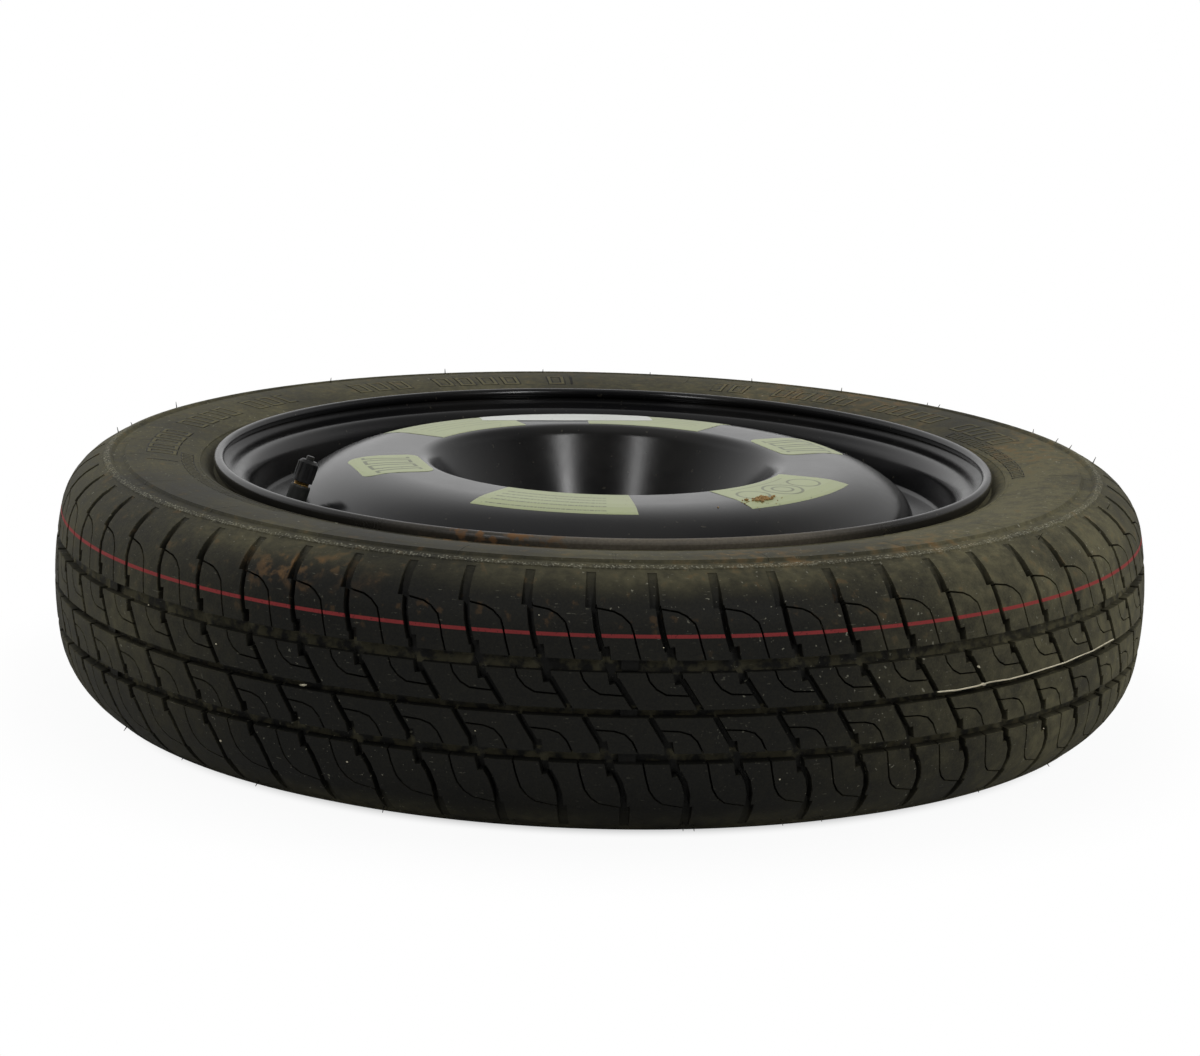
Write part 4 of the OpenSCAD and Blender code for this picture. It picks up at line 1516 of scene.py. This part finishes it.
@dataclass
class Debris:
    """Dirt that stays where it lies: lumps of soil on the disc, and dry bits on the tread.

    The stalk is a list of places as (direction, across), and each chip has its place, length and width.
    Off is how far a bit stands off the rubber, and a lump is raised by a share of its size.
    """

    outline: Outline
    crown_top: float = 47.0
    slope_start: float = 120.2
    slope_bend: float = 62.0
    clump_r: float = 126.5
    clump_at: float = -50.2
    clump_lumps: int = 46
    clump_spread: Point = (3.4, 3.0)
    clump_sizes: Point = (0.7, 1.5)
    trail_lumps: int = 26
    trail_shift: float = 3.0
    trail_spread: Point = (7.0, 5.5)
    trail_sizes: Point = (0.25, 0.6)
    lump_raised: float = 0.35
    slope: Point = (112.0, 146.0)
    stalk_r: float = 0.42
    stalk_taper: float = 0.14
    stalk_step: float = 0.02
    stalk_lap: float = 0.2
    stalk_off: float = 0.35
    stalk: tuple[Point, ...] = (
        (-56.4, 1.6), (-54.1, 1.0), (-51.5, 1.2), (-49.8, 1.9), (-47.2, 1.3), (-44.3, 1.5), (-41.0, 1.9),
        (-37.9, 1.8), (-35.2, 2.4), (-32.5, 2.2), (-29.8, 2.8), (-27.1, 2.7),
    )
    chip_half: float = 0.35
    chip_off: float = 0.1
    chips: tuple[tuple[float, float, float, float], ...] = (
        (-128.7, 10.7, 1.3, 0.9), (-128.9, -38.5, 1.6, 1.2), (-118.2, -0.3, 5.0, 1.3),
        (-113.8, -35.4, 1.3, 1.0), (-101.0, -12.0, 0.9, 0.7), (-84.0, 30.6, 0.9, 0.6),
        (-72.5, -34.5, 1.1, 0.8), (-63.0, 12.0, 0.8, 0.7), (-95.5, 44.0, 0.8, 0.6),
        (-40.5, -30.0, 1.2, 0.9), (-139.0, 20.0, 1.1, 0.8), (-50.6, 1.4, 4.6, 1.7), (-51.3, 10.3, 3.0, 1.2),
    )

    def build(self) -> list[Piece]:
        """Makes the soil, the stalk and the chips.

        Returns:
            The pieces.
        """
        soil = PlainFinish("dry_soil", (0.300, 0.185, 0.070), 0.9, 0.0, 0.2, 0.25).material()
        straw = PlainFinish("dry_straw", (0.62, 0.57, 0.42), 0.7, 0.0, 0.1, 0.2).material()
        return [self.clump(soil), self.stalk_piece(straw), self.chip_piece(straw)]

    def disc_height(self, radius: float) -> float:
        """The height of the disc's crown at a radius."""
        past = max(radius - self.slope_start, 0.0)
        return self.crown_top - self.slope_bend + math.sqrt(self.slope_bend ** 2 - past ** 2)

    def clump(self, material: Material) -> Piece:
        """Makes the clump of soil on the disc's slope, and the crumbs that trail from it.

        Args:
            material: the soil.

        Returns:
            The clump, as one piece.
        """
        chance = random.Random(4)
        bm = bmesh.new()
        kinds = [(self.clump_spread, self.clump_sizes, 0.0)] * self.clump_lumps
        kinds += [(self.trail_spread, self.trail_sizes, self.trail_shift)] * self.trail_lumps
        for spread, sizes, shift in kinds:
            at = self.clump_at + chance.gauss(0.0, spread[0] / 2) - shift
            radius = self.clump_r + chance.gauss(0.0, spread[1] / 2) + shift
            radius = min(max(radius, self.slope[0]), self.slope[1])
            size = chance.uniform(*sizes)
            place = on_wheel(radius, at, self.disc_height(radius) + size * self.lump_raised)
            halves = (size, size * chance.uniform(0.6, 1.0), size * chance.uniform(0.5, 0.8), 1.0)
            turn = Matrix.Rotation(chance.uniform(0, math.tau), 4, "Z")
            lump(bm, place, turn @ Matrix.Diagonal(halves), chance, (-0.22, 0.12))
        return new_object("soil_clump", bm, material, "wheel", 70.0)

    def stalk_piece(self, material: Material) -> Piece:
        """Makes the thin dry stalk that lies along the tread.

        Args:
            material: its finish.

        Returns:
            The stalk.
        """
        points = [self.outline.on_tread(at, s, self.stalk_off) for at, s in self.stalk]
        bm = bmesh.new()
        for i, (a, b) in enumerate(zip(points, points[1:])):
            thick = self.stalk_r - self.stalk_taper * i / len(points)
            length = (b - a).length + self.stalk_lap
            rod(bm, (a + b) / 2, b - a, length, thick, thick - self.stalk_step)
        return new_object("dry_stalk", bm, material, "wheel", 60.0)

    def chip_piece(self, material: Material) -> Piece:
        """Makes the dry chips and husks stuck on the tread.

        Args:
            material: their finish.

        Returns:
            The chips, as one piece.
        """
        chance = random.Random(9)
        bm = bmesh.new()
        for at, s, long_side, wide in self.chips:
            spin = Matrix.Rotation(math.radians(at), 4, "Z")
            tilt = Matrix.Rotation(chance.uniform(-0.5, 0.5), 4, "X")
            size = Matrix.Diagonal((self.chip_half, long_side / 2, wide / 2, 1.0))
            place = self.outline.on_tread(at, s, self.chip_off)
            lump(bm, place, spin @ tilt @ size, chance, (-0.25, 0.1))
        return new_object("dry_chips", bm, material, "wheel", 60.0)


# ---- the studio ----


@dataclass(frozen=True)
class Lamp:
    """A rectangular soft lamp that looks at the wheel."""

    name: str
    place_m: tuple[float, float, float]
    size_m: Point
    power: float
    mirrored: bool = True

    def build(self) -> None:
        """Makes the lamp, which shows in what is glossy only if it is mirrored."""
        lamp = bpy.data.lights.new(self.name, "AREA")
        lamp.shape = "RECTANGLE"
        lamp.size, lamp.size_y = self.size_m
        lamp.energy = self.power
        obj = bpy.data.objects.new(self.name, lamp)
        obj.location = self.place_m
        obj.rotation_mode = "QUATERNION"
        obj.rotation_quaternion = (-Vector(self.place_m)).to_track_quat("-Z", "Y")
        obj.visible_glossy = self.mirrored
        bpy.context.scene.collection.objects.link(obj)


@dataclass(frozen=True)
class Studio:
    """A pale floor, soft light from above and behind, and the camera."""

    floor_z_m: float = -0.0832
    floor_size_m: float = 40.0
    floor_colour: Colour = (0.50, 0.50, 0.49)
    camera_away_m: float = 1.840
    camera_up_m: float = 0.4087
    camera_clip_m: Point = (0.05, 100.0)
    aim_up_m: float = -0.015
    lens: float = 105.0
    sensor: float = 36.0
    roll: float = 1.6587
    shift_y: float = 0.0352
    dim: float = 0.035
    sky: float = 1.06
    zenith: float = 0.40
    right_falloff: float = 0.42
    lamps: tuple[Lamp, ...] = (
        Lamp("left_softbox", (-1.75, 0.45, 1.45), (1.5, 1.5), 20.0, False),
        Lamp("right_softbox", (1.85, 0.10, 1.35), (1.3, 1.3), 24.0, False),
        Lamp("left_strip", (-1.29, -2.25, 1.95), (0.36, 1.7), 14.0),
        Lamp("right_strip", (1.41, -2.19, 1.95), (0.36, 1.7), 19.0),
    )

    def build(self) -> None:
        """Makes the floor, the world, the lamps and the camera."""
        self.floor()
        self.world()
        for lamp in self.lamps:
            lamp.build()
        self.camera()
        bpy.context.scene.view_settings.view_transform = "Standard"

    def floor(self) -> None:
        """Makes the floor: white to the camera away from the wheel, and grey in its shadow."""
        bm = bmesh.new()
        bmesh.ops.create_grid(bm, x_segments=1, y_segments=1, size=self.floor_size_m / 2)
        bmesh.ops.translate(bm, vec=(0, 0, self.floor_z_m), verts=bm.verts)
        mesh = bpy.data.meshes.new("studio_floor")
        bm.to_mesh(mesh)
        bm.free()
        material = bpy.data.materials.new("studio_floor")
        material.use_nodes = True
        g = Graph(material.node_tree)
        x, y, _ = g.parts(g.place_m())
        away = g.distance(x, y)
        share = g.seen() * (0.15 + 0.80 * away.ramp(0.235, 0.265) + 0.05 * away.ramp(0.27, 0.37))
        matt = g.node("ShaderNodeBsdfDiffuse", {"Color": self.floor_colour})
        white = g.node("ShaderNodeEmission", {"Color": (1.0, 1.0, 1.0), "Strength": 1.0})
        both = g.node("ShaderNodeMixShader", {0: share, 1: matt, 2: white})
        g.node("ShaderNodeOutputMaterial", {"Surface": both})
        mesh.materials.append(material)
        floor = bpy.data.objects.new("studio_floor", mesh)
        bpy.context.scene.collection.objects.link(floor)

    def world(self) -> None:
        """Makes the surroundings: white to the camera, bright low behind, and dark on the viewer's side."""
        world = bpy.data.worlds.new("studio")
        world.use_nodes = True
        bpy.context.scene.world = world
        g = Graph(world.node_tree)
        seen = g.seen()
        x, y, z = g.parts(g.value("Generated", "ShaderNodeTexCoord"))
        behind = (0.8 * y + 0.6 * z).ramp(-0.1, 0.65)
        bright = self.sky + (self.zenith - self.sky) * z.ramp(0.45, 0.85)
        bright = bright * (1.0 - self.right_falloff * x.ramp(0.02, 0.40))
        level = seen + (1.0 - seen) * (self.dim + (bright - self.dim) * behind)
        light = g.node("ShaderNodeBackground", {"Strength": level})
        g.node("ShaderNodeOutputWorld", {"Surface": light})

    def camera(self) -> None:
        """Makes the camera, with a slightly raised view of the front, and turned a little."""
        data = bpy.data.cameras.new("camera")
        data.lens, data.sensor_width = self.lens, self.sensor
        data.shift_y = self.shift_y
        data.clip_start, data.clip_end = self.camera_clip_m
        camera = bpy.data.objects.new("camera", data)
        place = Vector((0.0, -self.camera_away_m, self.camera_up_m))
        toward = Vector((0.0, 0.0, self.aim_up_m)) - place
        turn = toward.to_track_quat("-Z", "Y").to_matrix() @ Matrix.Rotation(math.radians(self.roll), 3, "Z")
        camera.rotation_mode = "QUATERNION"
        camera.rotation_quaternion = turn.to_quaternion()
        camera.location = place
        bpy.context.scene.collection.objects.link(camera)
        bpy.context.scene.camera = camera


def main() -> None:
    """Builds the looks in order."""
    logging.basicConfig(level=logging.INFO, format="%(name)s: %(message)s")
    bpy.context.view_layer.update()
    tyre, rim, disc = Tyre(), Rim(), Disc()
    pieces = tyre.build() + rim.build() + disc.build()
    dress({**disc.finishes(), **Valve().finishes(), **Labels().finishes()})
    pieces += Debris(tyre.outline).build()
    Studio().build()
    for piece in pieces:
        size = ", ".join(f"{side / MM:.1f}" for side in piece.dimensions)
        LOG.info("%s: %d faces, %s mm", piece.name, len(piece.data.polygons), size)
    bpy.context.view_layer.update()


if __name__ == "__main__":
    main()
